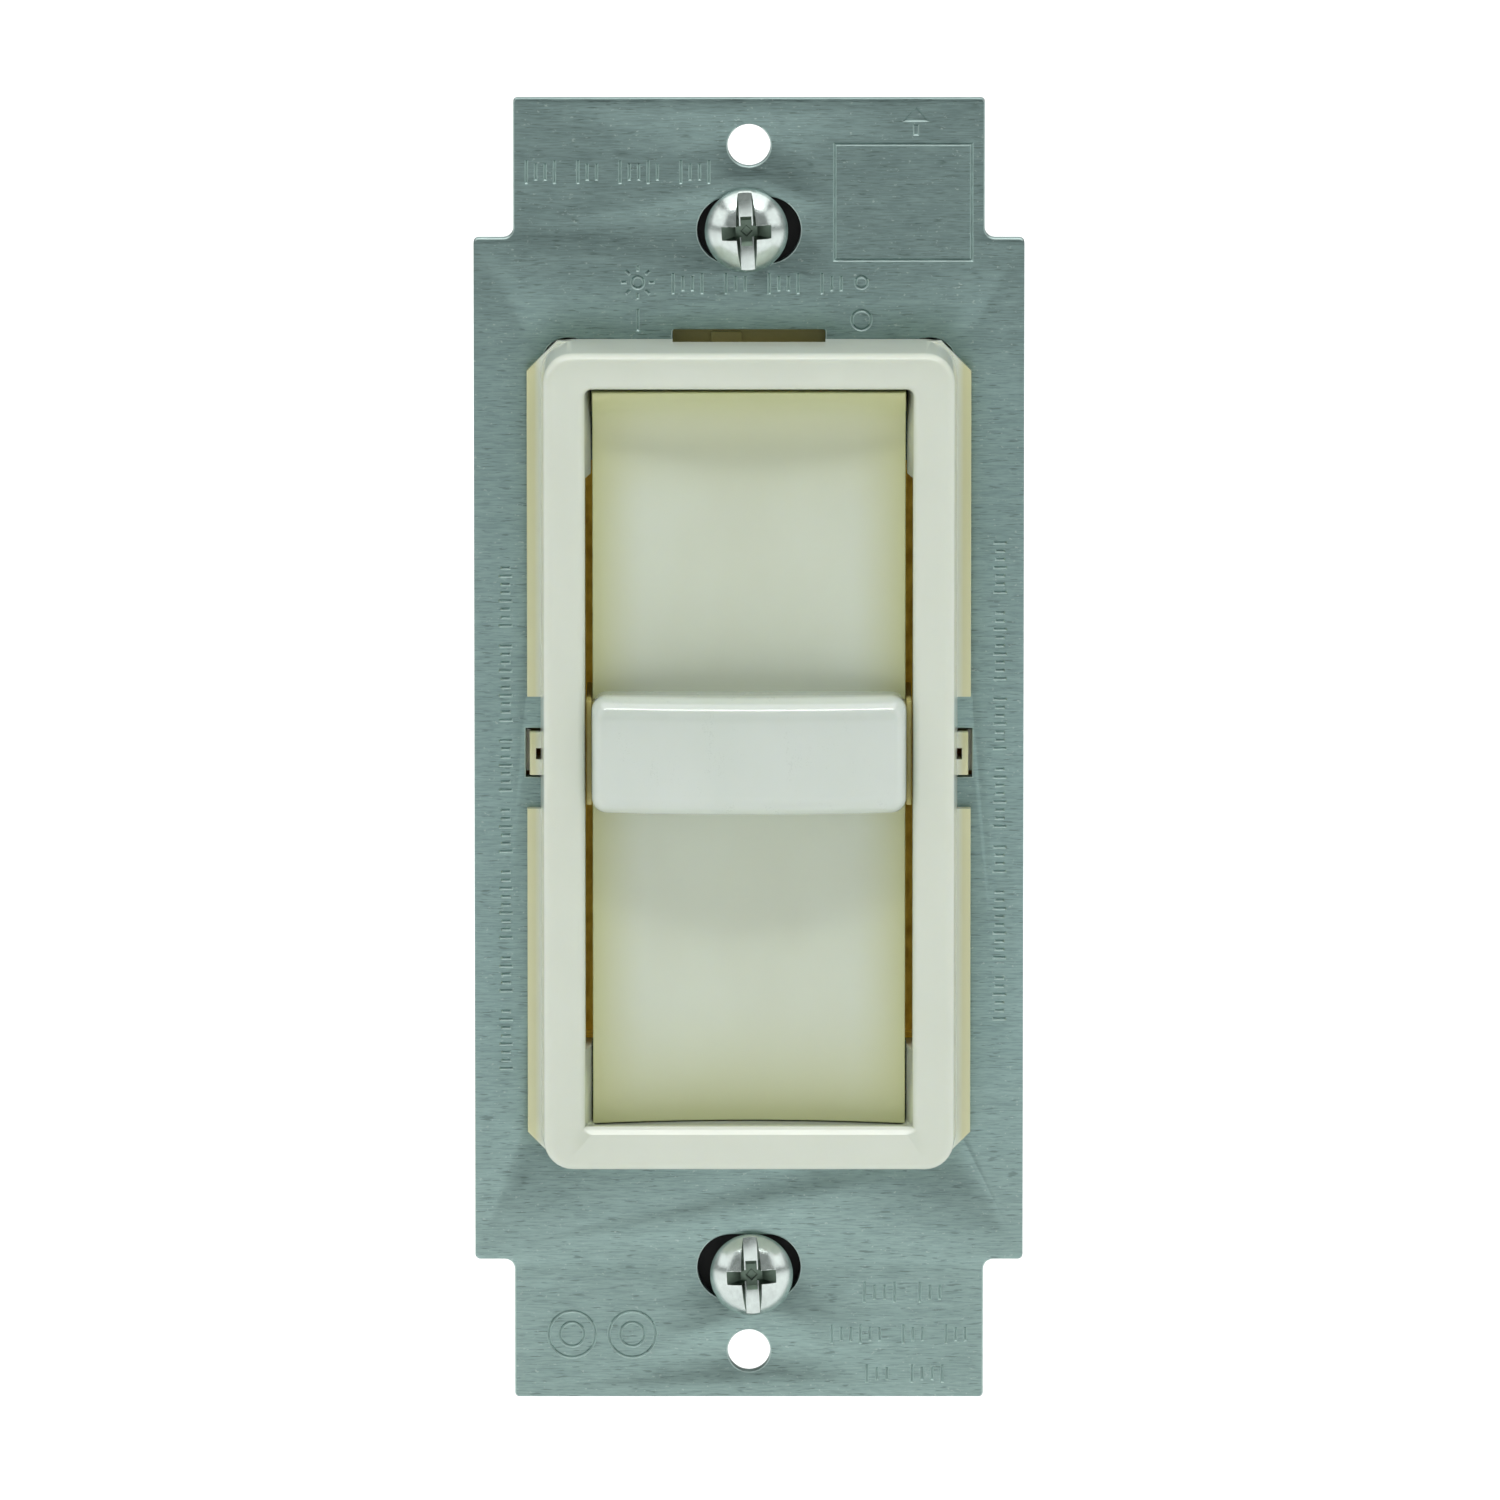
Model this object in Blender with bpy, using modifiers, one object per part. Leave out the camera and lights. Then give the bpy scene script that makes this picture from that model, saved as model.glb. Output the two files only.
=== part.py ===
"""A slide dimmer for a wall box, taken apart into the pieces that it is assembled from.

Lengths are written in millimetres and MM turns them into Blender's metres. The front faces -Y, +X is to
the right and +Z is up. The origin is the middle of the strap's rear face, midway between the box screws.
"""

import math

import bmesh
import bpy
from mathutils import Vector

MM = 0.001
OBJECT_NAME = "slide_dimmer"

# Gaps between neighbouring pieces
SEAT_GAP = 0.1
RUN_GAP = 0.15

# Strap: the standard spacings of a wall-box device set its height
STRAP_THICK = 1.3
STRAP_HEIGHT = 104.3
STRAP_WIDTH = 43.6
EAR_START_Z = 41.0
EAR_WIDTH = 37.3
PLATE_SCREW_Z = 48.42
PLATE_HOLE_RADIUS = 1.7
BOX_SLOT_Z = 41.67
BOX_SLOT = (8.2, 5.3)
STRAP_FRONT = -STRAP_THICK

# Opening through the strap for the slider, and its lower part for the pad
OPENING_HALF_WIDTH = 13.7
OPENING_HALF_HEIGHT = 23.3
PAD_OPENING_HALF_WIDTH = 9.5
PAD_OPENING_BOTTOM = -30.0

# Bezel
BEZEL_WIDTH = 33.1
BEZEL_HEIGHT = 66.0
BEZEL_FRONT = -7.9
BEZEL_REAR = STRAP_FRONT - 0.05
BEZEL_CORNER = 2.6
BEZEL_EDGE = 0.6
FLANGE_WIDTH = 35.2
FLANGE_THICK = 1.0
FLANGE_CHAMFER = 2.4
FLANGE_NOTCH_HALF = 4.5
WINDOW = (25.95, 59.6)
PAD_WINDOW = (24.9, 59.1)
PAD_LEVEL = -4.2
LEG_SLOT_Z = (-23.15, 22.7)
HOOK_Z = -0.15
HOOK_SLOT = (15.6, 17.7)
HOOK_SLOT_HALF = 1.95
HOOK_HALF = 1.72
HOOK_Y = (-1.9, 1.1)
BARB_Y = (0.15, 1.05)
BARB_REACH = 0.35
HOOK_HOLE_X = (16.5, 16.95)
HOOK_HOLE_HALF = 0.45
POST_X, POST_Z = 14.3, 31.0
POST_PLACES = ((-POST_X, POST_Z), (POST_X, POST_Z), (POST_X, -POST_Z))
POST_RADIUS = 1.9
POST_START, POST_END = -2.2, 1.0
POST_HOLE_RADIUS = 2.1
PILOT_RADIUS = 1.4
PILOT_START = -6.2

# Push pad: a trough across its width, with its upper end curved forward
PAD_HALF_WIDTH = 12.3
PAD_HALF_HEIGHT = 29.4
PAD_EDGE_Y = -4.4
PAD_TROUGH = 1.6
PAD_THICK = 1.0
PAD_LIP_Y = -6.9
PAD_CURVE_RADIUS = 4.5
PAD_AXIS = (-2.25, 28.2)
PAD_PIN_RADIUS = 0.85
PAD_PIN_END = 13.3
PAD_LUG = (1.0, 1.1)
PAD_LUG_Y = (-4.0, -1.45)
POST_TIP_X, POST_TIP_Z, POST_TIP_Y = 5.0, -28.2, 2.0
POST_TIP_HALF = 1.1

# Slider
REST_Z = 0.78
KNOB_WIDTH, KNOB_HEIGHT = 24.9, 9.35
KNOB_CORNER = 1.1
KNOB_EDGE = 0.7
KNOB_FRONT = -10.7
KNOB_BULGE = 1.2
KNOB_REAR = -5.5
KNOB_HOLLOW = (11.2, 3.4, 2.4)
LEG_OUTER, LEG_INNER = 12.87, 12.45
LEG_Z = 0.6
LEG_HALF_HEIGHT = 4.15
LEG_SHOULDER = 0.9
LEG_HOOK = 0.7
LEG_FRONT = -6.4
LEG_END = 3.8
CARRIAGE_Y = (0.6, 3.0)
CARRIAGE_HALF_WIDTH = 12.3
CARRIAGE_HALF_HEIGHT = 4.0
POCKET_X = (3.0, 10.5)
POCKET_WALL = 1.2
SPRING_SHEET = 0.12
SPRING_RISE = 1.5
SPRING_REACH = 8.0
SPRING_Z = (-3.4, -2.3)

# Guards behind the slider's leg slots
GUARD_X = (11.3, 13.6)
GUARD_Y = (4.1, 4.4)
GUARD_HALF_LENGTH = 23.9
GUARD_FOOT = 0.55

# Slide potentiometer
POT_HALF_WIDTH = 4.6
POT_HALF_LENGTH = 24.0
POT_Y = (5.0, 11.2)
POT_SHEET = 0.5
POT_SLOT_HALF = (0.95, 20.6)
POT_BASE_START = 9.9
POT_GROOVE = (1.0, 20.0, 0.3)
POT_PINS = ((-2.5, 22.0), (2.5, 22.0), (0.0, -22.0))
WIPER_HALF = (3.4, 3.2)
WIPER_Y = (6.1, 8.9)
WIPER_TIP = 9.75
FINGER_WIDTH, FINGER_HALF_HEIGHT = 1.2, 0.6
LEVER = (0.6, 2.0)
LEVER_Y = (1.0, 5.8)
LEVER_FOOT = (2.6, 2.8)
LEVER_FOOT_Y = (5.62, 5.98)

# Circuit board
BOARD_Y = (11.8, 13.4)
BOARD_HALF = (18.3, 34.1)
BOARD_CORNER = (10.2, 26.9)
PIN_RADIUS = 0.35
PIN_HOLE_RADIUS = 0.6
PIN_END = 14.4

# Housing
HOUSING_HALF = (20.4, 36.0)
HOUSING_Y = (0.1, 28.6)
HOUSING_WALL = 1.5
HOUSING_CORNER = 2.0
BOSS_RADIUS = 3.55
BOSS_BORE = 2.4
BOSS_FRONT = 1.1
BOSS_FACE = 4.0
SCREW_HOLE_RADIUS = 1.6
LEAD_HOLE_X = (-9.0, -3.0, 3.0, 9.0)
LEAD_HOLE_Z = 24.5
LABEL_X, LABEL_Z, LABEL_DEPTH = (-13.0, 13.0), (-22.0, 14.0), 0.3
RIB_DEPTH, RIB_HALF_LENGTH = 0.9, 20.0

# Triac on the strap's rear face
TRIAC_X = (-18.6, -3.1)
TRIAC_Z = -29.2
TRIAC_HALF = 5.0
TRIAC_TAB_Y = (0.35, 1.65)
TRIAC_BODY_Y = (1.75, 4.8)
RIVET_X = -15.9
RIVET_HOLE_RADIUS = 1.6
SINK_RADIUS, SINK_END = 2.45, -0.4
INSULATOR_Y = (0.08, 0.25)
LEAD_PITCH = 2.54
LEAD_X = -0.95
LEAD_Y = (2.5, 3.0)
LEAD_HALF_WIDTH = 0.35
LEAD_HALF_THICK = 0.25

# Push switch behind the pad's post
SWITCH_HALF = (4.0, 3.9)
SWITCH_Y = (5.0, 11.6)
PLUNGER_RADIUS = 1.7
PLUNGER_Y = (POST_TIP_Y + RUN_GAP, 8.0)
SWITCH_BORE_END = 10.5
BRIDGE_HALF = (2.9, 0.5)
BRIDGE_Y = (7.0, 7.4)
BRIDGE_TRAVEL = 2.2
COIL_RADIUS, COIL_WIRE = 1.1, 0.15
COIL_TURNS, COIL_STEPS = 3, 10
TERMINAL_X, TERMINAL_THICK, TERMINAL_HALF = 2.6, 0.5, 0.9

# Lighted-option selector
SELECTOR_SLOT_HALF = 6.05
SELECTOR_SLOT_Z = (31.0, 33.75)
SELECTOR_TRAVEL = 3.6
SELECTOR_HALF = 8.3
SELECTOR_Y = (0.2, 1.2)
SELECTOR_Z = (30.4, 34.3)
NUB_HALF, NUB_FRONT = 1.2, -0.05
NUB_Z = (31.3, 33.4)
ARM_HALF = 1.0
ARM_Z = (31.6, 33.2)
SELECTOR_WIPER_HALF = 1.9
SELECTOR_WIPER_Y = (7.3, 10.5)
SELECTOR_WIPER_Z = (31.75, 33.05)
SELECTOR_CASE_HALF = 5.2
SELECTOR_CASE_START = 8.6
SELECTOR_CASE_Z = (30.6, 33.9)
SELECTOR_CASE_SLOT = (4.0, 10.8)

# Locator lamp
LAMP_Z = 27.2
LAMP_RADIUS = 2.5
LAMP_Y = (-0.9, 9.0)
LAMP_HOLE_RADIUS = 2.9
SLEEVE_START, SLEEVE_WALL = 6.0, 0.45

# Box screws: each is loose in its slot, and the lower one hangs a little low
UPPER_SCREW = (-0.2, 41.67)
LOWER_SCREW = (0.2, -42.2)
SCREW_HEAD_RADIUS = 3.3
SCREW_HEAD_HEIGHT = 2.0
SCREW_HEAD_EDGE = 0.35
SCREW_RADIUS = 1.72
SCREW_END = 22.0
SCREW_POINT = 0.6
DRIVER_SLOT = (0.58, 0.85)
DRIVER_CROSS = (2.1, 0.5, 1.1)
RETAINER_SIZE = (12.4, 7.4)
RETAINER_CORNER = 1.0
RETAINER_Y = (0.08, 0.88)

# Choke
CHOKE_PLACE = (-3.0, -9.0)
CHOKE_Y = (14.2, 23.2)
CORE_RADIUS = (5.0, 10.0)
WINDING_RADIUS = (3.9, 11.0)
WINDING_GAP = 0.15
WINDING_BREAK = (2.6, 2.0)

# Housing screws
HOUSING_SCREW_HEAD = (2.2, 1.85)
HOUSING_SCREW_RADIUS = 1.32
HOUSING_SCREW_END = -5.2
HOUSING_SCREW_CROSS = (1.2, 0.25, 0.9)

ALUMINIUM = ((0.42, 0.46, 0.45), 0.38, 1.0)
IVORY = ((0.80, 0.79, 0.66), 0.35, 0.0)
IVORY_LIGHT = ((0.84, 0.85, 0.76), 0.3, 0.0)
BLACK = ((0.03, 0.03, 0.03), 0.5, 0.0)
STEEL = ((0.62, 0.63, 0.62), 0.3, 1.0)
TIN = ((0.7, 0.7, 0.68), 0.35, 1.0)
BRASS = ((0.75, 0.55, 0.25), 0.35, 1.0)
BOARD = ((0.62, 0.42, 0.2), 0.6, 0.0)
FERRITE = ((0.9, 0.82, 0.3), 0.5, 0.0)
ENAMEL = ((0.55, 0.2, 0.07), 0.3, 1.0)
FILM_RED = ((0.55, 0.08, 0.05), 0.4, 0.0)
BEIGE = ((0.75, 0.65, 0.48), 0.5, 0.0)
BLUE = ((0.05, 0.15, 0.45), 0.4, 0.0)
GLASS = ((0.95, 0.75, 0.55), 0.08, 0.0)


# ---------------------------------------------------------------- tools


def clear_scene():
    for obj in list(bpy.data.objects):
        bpy.data.objects.remove(obj, do_unlink=True)
    for name in (OBJECT_NAME, "cutters"):
        collection = bpy.data.collections.new(name)
        bpy.context.scene.collection.children.link(collection)


def place(obj, collection):
    for old in list(obj.users_collection):
        old.objects.unlink(obj)
    bpy.data.collections[collection].objects.link(obj)


def mesh_object(name, bm, location):
    """A new object in the parts' collection from a bmesh in metres, at a location in millimetres."""
    mesh = bpy.data.meshes.new(name)
    bm.to_mesh(mesh)
    bm.free()
    obj = bpy.data.objects.new(name, mesh)
    obj.location = Vector(location) * MM
    bpy.data.collections[OBJECT_NAME].objects.link(obj)
    return obj


def box(name, x, y, z, rear_scale=(1.0, 1.0)):
    """A box between two corners. rear_scale shrinks its +Y face, for a draft."""
    spans = (x, y, z)
    centre = [(low + high) / 2 for low, high in spans]
    bm = bmesh.new()
    bmesh.ops.create_cube(bm, size=1.0)
    for vertex in bm.verts:
        at_rear = vertex.co.y > 0
        for axis, (low, high) in enumerate(spans):
            vertex.co[axis] *= (high - low) * MM
        if at_rear:
            vertex.co.x *= rear_scale[0]
            vertex.co.z *= rear_scale[1]
    return mesh_object(name, bm, centre)


def cylinder(name, radius, x, y, z, segments=24, rear_radius=None):
    """A cylinder or cone along the one axis that is given as a span; the other two are its centre."""
    places = (x, y, z)
    axis = next(i for i, p in enumerate(places) if isinstance(p, tuple))
    low, high = places[axis]
    centre = [p if i != axis else (low + high) / 2 for i, p in enumerate(places)]
    top = radius if rear_radius is None else rear_radius
    bm = bmesh.new()
    bmesh.ops.create_cone(
        bm, cap_ends=True, segments=segments, radius1=radius * MM, radius2=top * MM, depth=(high - low) * MM
    )
    obj = mesh_object(name, bm, centre)
    turn = {0: (0.0, math.pi / 2, 0.0), 1: (-math.pi / 2, 0.0, 0.0), 2: (0.0, 0.0, 0.0)}
    obj.rotation_euler = turn[axis]
    smooth(obj)
    return obj


def turned(name, profile, x, z, steps=32):
    """A body turned about a line along Y. The profile is (radius, y), from its front end to its rear end."""
    mesh = bpy.data.meshes.new(name)
    points = [(radius * MM, 0.0, -y * MM) for radius, y in profile]
    mesh.from_pydata(points, [(i, i + 1) for i in range(len(points) - 1)], [])
    obj = bpy.data.objects.new(name, mesh)
    obj.location = (x * MM, 0.0, z * MM)
    obj.rotation_euler = (math.pi / 2, 0.0, 0.0)
    bpy.data.collections[OBJECT_NAME].objects.link(obj)
    screw = obj.modifiers.new("turn", "SCREW")
    screw.axis = "Z"
    screw.steps = screw.render_steps = steps
    screw.use_merge_vertices = True
    screw.merge_threshold = 1e-6
    return obj


def arc(centre_x, centre_z, radius, start, end, count):
    """Points round an arc, angles in degrees from +X towards +Z."""
    points = []
    for i in range(count + 1):
        angle = math.radians(start + (end - start) * i / count)
        points.append((centre_x + radius * math.cos(angle), centre_z + radius * math.sin(angle)))
    return points


def circle(radius, x, z, count=20):
    return arc(x, z, radius, 0, 360 * (count - 1) / count, count - 1)


def rounded(width, height, radius, x=0.0, z=0.0, count=4):
    """A rectangle's outline with round corners."""
    points = []
    for corner, (side_x, side_z) in enumerate(((1, 1), (-1, 1), (-1, -1), (1, -1))):
        centre_x = x + side_x * (width / 2 - radius)
        centre_z = z + side_z * (height / 2 - radius)
        points += arc(centre_x, centre_z, radius, 90 * corner, 90 * corner + 90, count)
    return points


def rectangle(x, z):
    return [(x[0], z[0]), (x[1], z[0]), (x[1], z[1]), (x[0], z[1])]


def mirrored(quarter):
    """A whole outline from its upper right quarter, which starts at its right side."""
    edge = quarter + [(-x, z) for x, z in reversed(quarter)]
    return edge + [(-x, -z) for x, z in quarter] + [(x, -z) for x, z in reversed(quarter)]


def flat(name, outlines, y):
    """A flat piece: the first outline is its edge in X and Z, the others are holes."""
    curve = bpy.data.curves.new(name, "CURVE")
    curve.dimensions = "2D"
    curve.fill_mode = "BOTH"
    curve.extrude = (y[1] - y[0]) / 2 * MM
    curve.resolution_u = 1
    for outline in outlines:
        spline = curve.splines.new("POLY")
        spline.points.add(len(outline) - 1)
        for point, (x, z) in zip(spline.points, outline):
            point.co = (x * MM, z * MM, 0.0, 1.0)
        spline.use_cyclic_u = True
    shape = bpy.data.objects.new(name + "_outline", curve)
    shape.location = (0.0, (y[0] + y[1]) / 2 * MM, 0.0)
    shape.rotation_euler = (math.pi / 2, 0.0, 0.0)
    bpy.data.collections[OBJECT_NAME].objects.link(shape)
    return solid_from_curve(name, shape)


def wire(name, points, radius, resolution=2):
    """A round wire through points in millimetres."""
    curve = bpy.data.curves.new(name, "CURVE")
    curve.dimensions = "3D"
    curve.bevel_depth = radius * MM
    curve.bevel_resolution = resolution
    curve.use_fill_caps = True
    spline = curve.splines.new("POLY")
    spline.points.add(len(points) - 1)
    for point, place_mm in zip(spline.points, points):
        point.co = (*(Vector(place_mm) * MM), 1.0)
    shape = bpy.data.objects.new(name + "_path", curve)
    bpy.data.collections[OBJECT_NAME].objects.link(shape)
    return solid_from_curve(name, shape)


def solid_from_curve(name, shape):
    """The curve as a closed mesh object, in place of the curve."""
    bpy.context.view_layer.update()
    graph = bpy.context.evaluated_depsgraph_get()
    mesh = bpy.data.meshes.new_from_object(shape.evaluated_get(graph))
    mesh.name = name
    bm = bmesh.new()
    bm.from_mesh(mesh)
    bmesh.ops.remove_doubles(bm, verts=bm.verts, dist=1e-7)
    bmesh.ops.recalc_face_normals(bm, faces=bm.faces)
    bm.to_mesh(mesh)
    bm.free()
    obj = bpy.data.objects.new(name, mesh)
    obj.matrix_world = shape.matrix_world
    bpy.data.collections[OBJECT_NAME].objects.link(obj)
    curve = shape.data
    bpy.data.objects.remove(shape, do_unlink=True)
    bpy.data.curves.remove(curve)
    return obj


def boolean(target, tool, operation):
    place(tool, "cutters")
    tool.hide_render = True
    tool.display_type = "WIRE"
    tool.name = f"{target.name}_{operation.lower()}_{len(target.modifiers)}"
    modifier = target.modifiers.new(tool.name, "BOOLEAN")
    modifier.operation = operation
    modifier.object = tool
    modifier.solver = "EXACT"


def cut(target, *tools):
    for tool in tools:
        boolean(target, tool, "DIFFERENCE")


def add(target, *tools):
    for tool in tools:
        boolean(target, tool, "UNION")


def keep(target, tool):
    boolean(target, tool, "INTERSECT")


def bevel(obj, width, segments=2, angle=50.0):
    modifier = obj.modifiers.new("bevel", "BEVEL")
    modifier.width = width * MM
    modifier.segments = segments
    modifier.limit_method = "ANGLE"
    modifier.angle_limit = math.radians(angle)


def smooth(obj):
    obj.data.shade_smooth()
    obj.data.set_sharp_from_angle(angle=math.radians(35))


def paint(obj, look):
    """Its own material: colour, roughness and metallic."""
    colour, roughness, metallic = look
    material = bpy.data.materials.new(obj.name)
    material.use_nodes = True
    shader = material.node_tree.nodes["Principled BSDF"]
    shader.inputs["Base Color"].default_value = (*colour, 1.0)
    shader.inputs["Roughness"].default_value = roughness
    shader.inputs["Metallic"].default_value = metallic
    obj.data.materials.clear()
    obj.data.materials.append(material)
    return obj


def joint(name, location, *pieces):
    """An empty on a joint's axis that carries the moving pieces."""
    empty = bpy.data.objects.new(name, None)
    empty.empty_display_size = 0.005
    empty.location = Vector(location) * MM
    bpy.data.collections[OBJECT_NAME].objects.link(empty)
    bpy.context.view_layer.update()
    for piece in pieces:
        piece.parent = empty
        piece.matrix_parent_inverse = empty.matrix_world.inverted()
    return empty


def both_sides(low, high):
    """The span low to high on the right, and its mirror on the left."""
    return ((low, high), (-high, -low))


# ---------------------------------------------------------------- strap and its screws


def heat_sink_strap():
    half_ear = EAR_WIDTH / 2
    edge = mirrored([(STRAP_WIDTH / 2, EAR_START_Z), (half_ear, EAR_START_Z), (half_ear, STRAP_HEIGHT / 2)])
    opening = [
        (OPENING_HALF_WIDTH, OPENING_HALF_HEIGHT),
        (-OPENING_HALF_WIDTH, OPENING_HALF_HEIGHT),
        (-OPENING_HALF_WIDTH, -OPENING_HALF_HEIGHT),
        (-PAD_OPENING_HALF_WIDTH, -OPENING_HALF_HEIGHT),
        (-PAD_OPENING_HALF_WIDTH, PAD_OPENING_BOTTOM),
        (PAD_OPENING_HALF_WIDTH, PAD_OPENING_BOTTOM),
        (PAD_OPENING_HALF_WIDTH, -OPENING_HALF_HEIGHT),
        (OPENING_HALF_WIDTH, -OPENING_HALF_HEIGHT),
    ]
    holes = [opening, rectangle((-SELECTOR_SLOT_HALF, SELECTOR_SLOT_HALF), SELECTOR_SLOT_Z)]
    holes.append(circle(LAMP_HOLE_RADIUS, 0.0, LAMP_Z))
    holes.append(circle(RIVET_HOLE_RADIUS, RIVET_X, TRIAC_Z))
    holes += [circle(POST_HOLE_RADIUS, x, z) for x, z in POST_PLACES]
    hook_slot_z = (HOOK_Z - HOOK_SLOT_HALF, HOOK_Z + HOOK_SLOT_HALF)
    for side in (1, -1):
        holes.append(circle(PLATE_HOLE_RADIUS, 0.0, side * PLATE_SCREW_Z))
        holes.append(rounded(*BOX_SLOT, BOX_SLOT[1] / 2 - 0.001, 0.0, side * BOX_SLOT_Z, 6))
        holes.append(rectangle(sorted(side * x for x in HOOK_SLOT), hook_slot_z))
    strap = flat("heat_sink_strap", [edge] + holes, (STRAP_FRONT, 0.0))
    sink_y = (STRAP_FRONT - 0.05, SINK_END)
    cut(strap, cylinder("sink", SINK_RADIUS, RIVET_X, sink_y, TRIAC_Z, 20, RIVET_HOLE_RADIUS - 0.1))
    return paint(strap, ALUMINIUM)


def box_screw(name, x, z):
    """A captive screw with a domed head, a driver slot and a cross recess."""
    seat = STRAP_FRONT - 0.05
    crown, dome_height = seat - SCREW_HEAD_HEIGHT, SCREW_HEAD_HEIGHT - SCREW_HEAD_EDGE
    dome = []
    for i in range(7):
        angle = math.radians(15 * i)
        dome.append((SCREW_HEAD_RADIUS * math.sin(angle), crown + dome_height * (1 - math.cos(angle))))
    shank = [(SCREW_RADIUS, seat), (SCREW_RADIUS, SCREW_END - SCREW_POINT)]
    shank += [(SCREW_RADIUS - SCREW_POINT, SCREW_END), (0.0, SCREW_END)]
    screw = turned(name, dome + [(SCREW_HEAD_RADIUS, seat)] + shank, x, z)
    slot_half, slot_depth = DRIVER_SLOT
    cut(screw, box("slot", (x - slot_half, x + slot_half), (crown - 1.0, crown + slot_depth), (z - 5.0, z + 5.0)))
    wing, half, depth = DRIVER_CROSS
    cut(screw, box("cross", (x - wing, x + wing), (crown - 1.0, crown + depth), (z - half, z + half)))
    joint(name + "_axis", (x, seat, z), screw)
    return paint(screw, STEEL)


def screw_retainer(name, x, z):
    """The fibre washer that holds a box screw in its slot until the device is mounted."""
    edge = rounded(*RETAINER_SIZE, RETAINER_CORNER, 0.0, z, 3)
    return paint(flat(name, [edge, circle(SCREW_RADIUS + 0.08, x, z)], RETAINER_Y), BLACK)


# ---------------------------------------------------------------- bezel


def bezel_frame():
    outline = rounded(BEZEL_WIDTH, BEZEL_HEIGHT, BEZEL_CORNER)
    ring = flat("bezel_frame", [outline], (BEZEL_FRONT, BEZEL_REAR - 0.45))
    bevel(ring, BEZEL_EDGE)
    half, top = FLANGE_WIDTH / 2, BEZEL_HEIGHT / 2 - 0.05
    edge = mirrored([(half, top - FLANGE_CHAMFER), (half - FLANGE_CHAMFER, top)])
    flange = flat("flange", [edge], (BEZEL_REAR - FLANGE_THICK, BEZEL_REAR))
    for span in both_sides(BEZEL_WIDTH / 2 - 0.15, half + 1.0):
        cut(flange, box("flange_notch", span, (-4.0, 1.0), (-FLANGE_NOTCH_HALF, FLANGE_NOTCH_HALF)))
    add(ring, flange)
    hook_z = (HOOK_Z - HOOK_HALF, HOOK_Z + HOOK_HALF)
    for span in both_sides(HOOK_SLOT[0] + 0.3, HOOK_SLOT[1] - 0.3):
        add(ring, box("hook", span, HOOK_Y, hook_z))
    barb_z = (hook_z[0] + 0.02, hook_z[1] - 0.02)
    for span in both_sides(HOOK_SLOT[1] - 0.5, HOOK_SLOT[1] + BARB_REACH):
        add(ring, box("barb", span, BARB_Y, barb_z))
    for x, z in POST_PLACES:
        add(ring, cylinder("post", POST_RADIUS, x, (POST_START, POST_END), z))
    shrink = ((PAD_WINDOW[0] + 0.1) / WINDOW[0], (PAD_WINDOW[1] + 0.1) / WINDOW[1])
    half_x, half_z = WINDOW[0] / 2, WINDOW[1] / 2
    cut(ring, box("draft", (-half_x, half_x), (BEZEL_FRONT - 0.01, PAD_LEVEL), (-half_z, half_z), shrink))
    narrow_x, narrow_z = PAD_WINDOW[0] / 2, PAD_WINDOW[1] / 2
    cut(ring, box("pad_window", (-narrow_x, narrow_x), (-9.0, 0.5), (-narrow_z, narrow_z)))
    cut(ring, box("leg_slots", (-half_x, half_x), (-9.2, 0.7), LEG_SLOT_Z))
    pin_y, pin_z = PAD_AXIS
    reach = PAD_PIN_RADIUS + 0.1
    for span in both_sides(PAD_PIN_END - 2.0, PAD_PIN_END + 0.2):
        cut(ring, box("pin_slot", span, (pin_y - reach, 0.5), (pin_z - reach, pin_z + reach)))
    for x, z in POST_PLACES:
        cut(ring, cylinder("pilot", PILOT_RADIUS, x, (PILOT_START, POST_END + 0.5), z, 16))
    hole_z = (HOOK_Z - HOOK_HOLE_HALF, HOOK_Z + HOOK_HOLE_HALF)
    for span in both_sides(*HOOK_HOLE_X):
        cut(ring, box("hook_hole", span, (-2.8, 1.5), hole_z))
    slot = (-SELECTOR_SLOT_HALF, SELECTOR_SLOT_HALF)
    cut(ring, box("selector_notch", slot, (-3.0, -1.0), (BEZEL_HEIGHT / 2 - 0.25, BEZEL_HEIGHT / 2 + 1.0)))
    return paint(ring, IVORY)


# ---------------------------------------------------------------- push pad and switch


def push_paddle():
    half, trough = PAD_HALF_WIDTH, PAD_TROUGH
    radius = (half**2 + trough**2) / (2 * trough)
    centre_y = PAD_EDGE_Y + trough - radius
    segments = 180
    pad = box("push_paddle", (-half, half), (PAD_LIP_Y, 0.0), (-PAD_HALF_HEIGHT, PAD_HALF_HEIGHT))
    keep(pad, cylinder("back", radius + PAD_THICK, 0.0, centre_y, (-40.0, 40.0), segments))
    hollow = cylinder("trough", radius, 0.0, centre_y, (-40.0, PAD_HALF_HEIGHT - 0.1), segments)
    bevel(hollow, PAD_CURVE_RADIUS, 6)
    cut(pad, hollow)
    pin_y, pin_z = PAD_AXIS
    lug_width, lug_half = PAD_LUG
    for span in both_sides(half - lug_width, half - 0.02):
        add(pad, box("lug", span, PAD_LUG_Y, (pin_z - lug_half, pin_z + lug_half)))
    for span in both_sides(half - 0.5, PAD_PIN_END):
        add(pad, cylinder("pin", PAD_PIN_RADIUS, span, pin_y, pin_z, 16))
    x, z, tip = POST_TIP_X, POST_TIP_Z, POST_TIP_HALF
    add(pad, box("post", (x - tip, x + tip), (-2.6, POST_TIP_Y), (z - tip, z + tip)))
    joint("paddle_axis", (0.0, pin_y, pin_z), pad)
    return paint(pad, IVORY)


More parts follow.
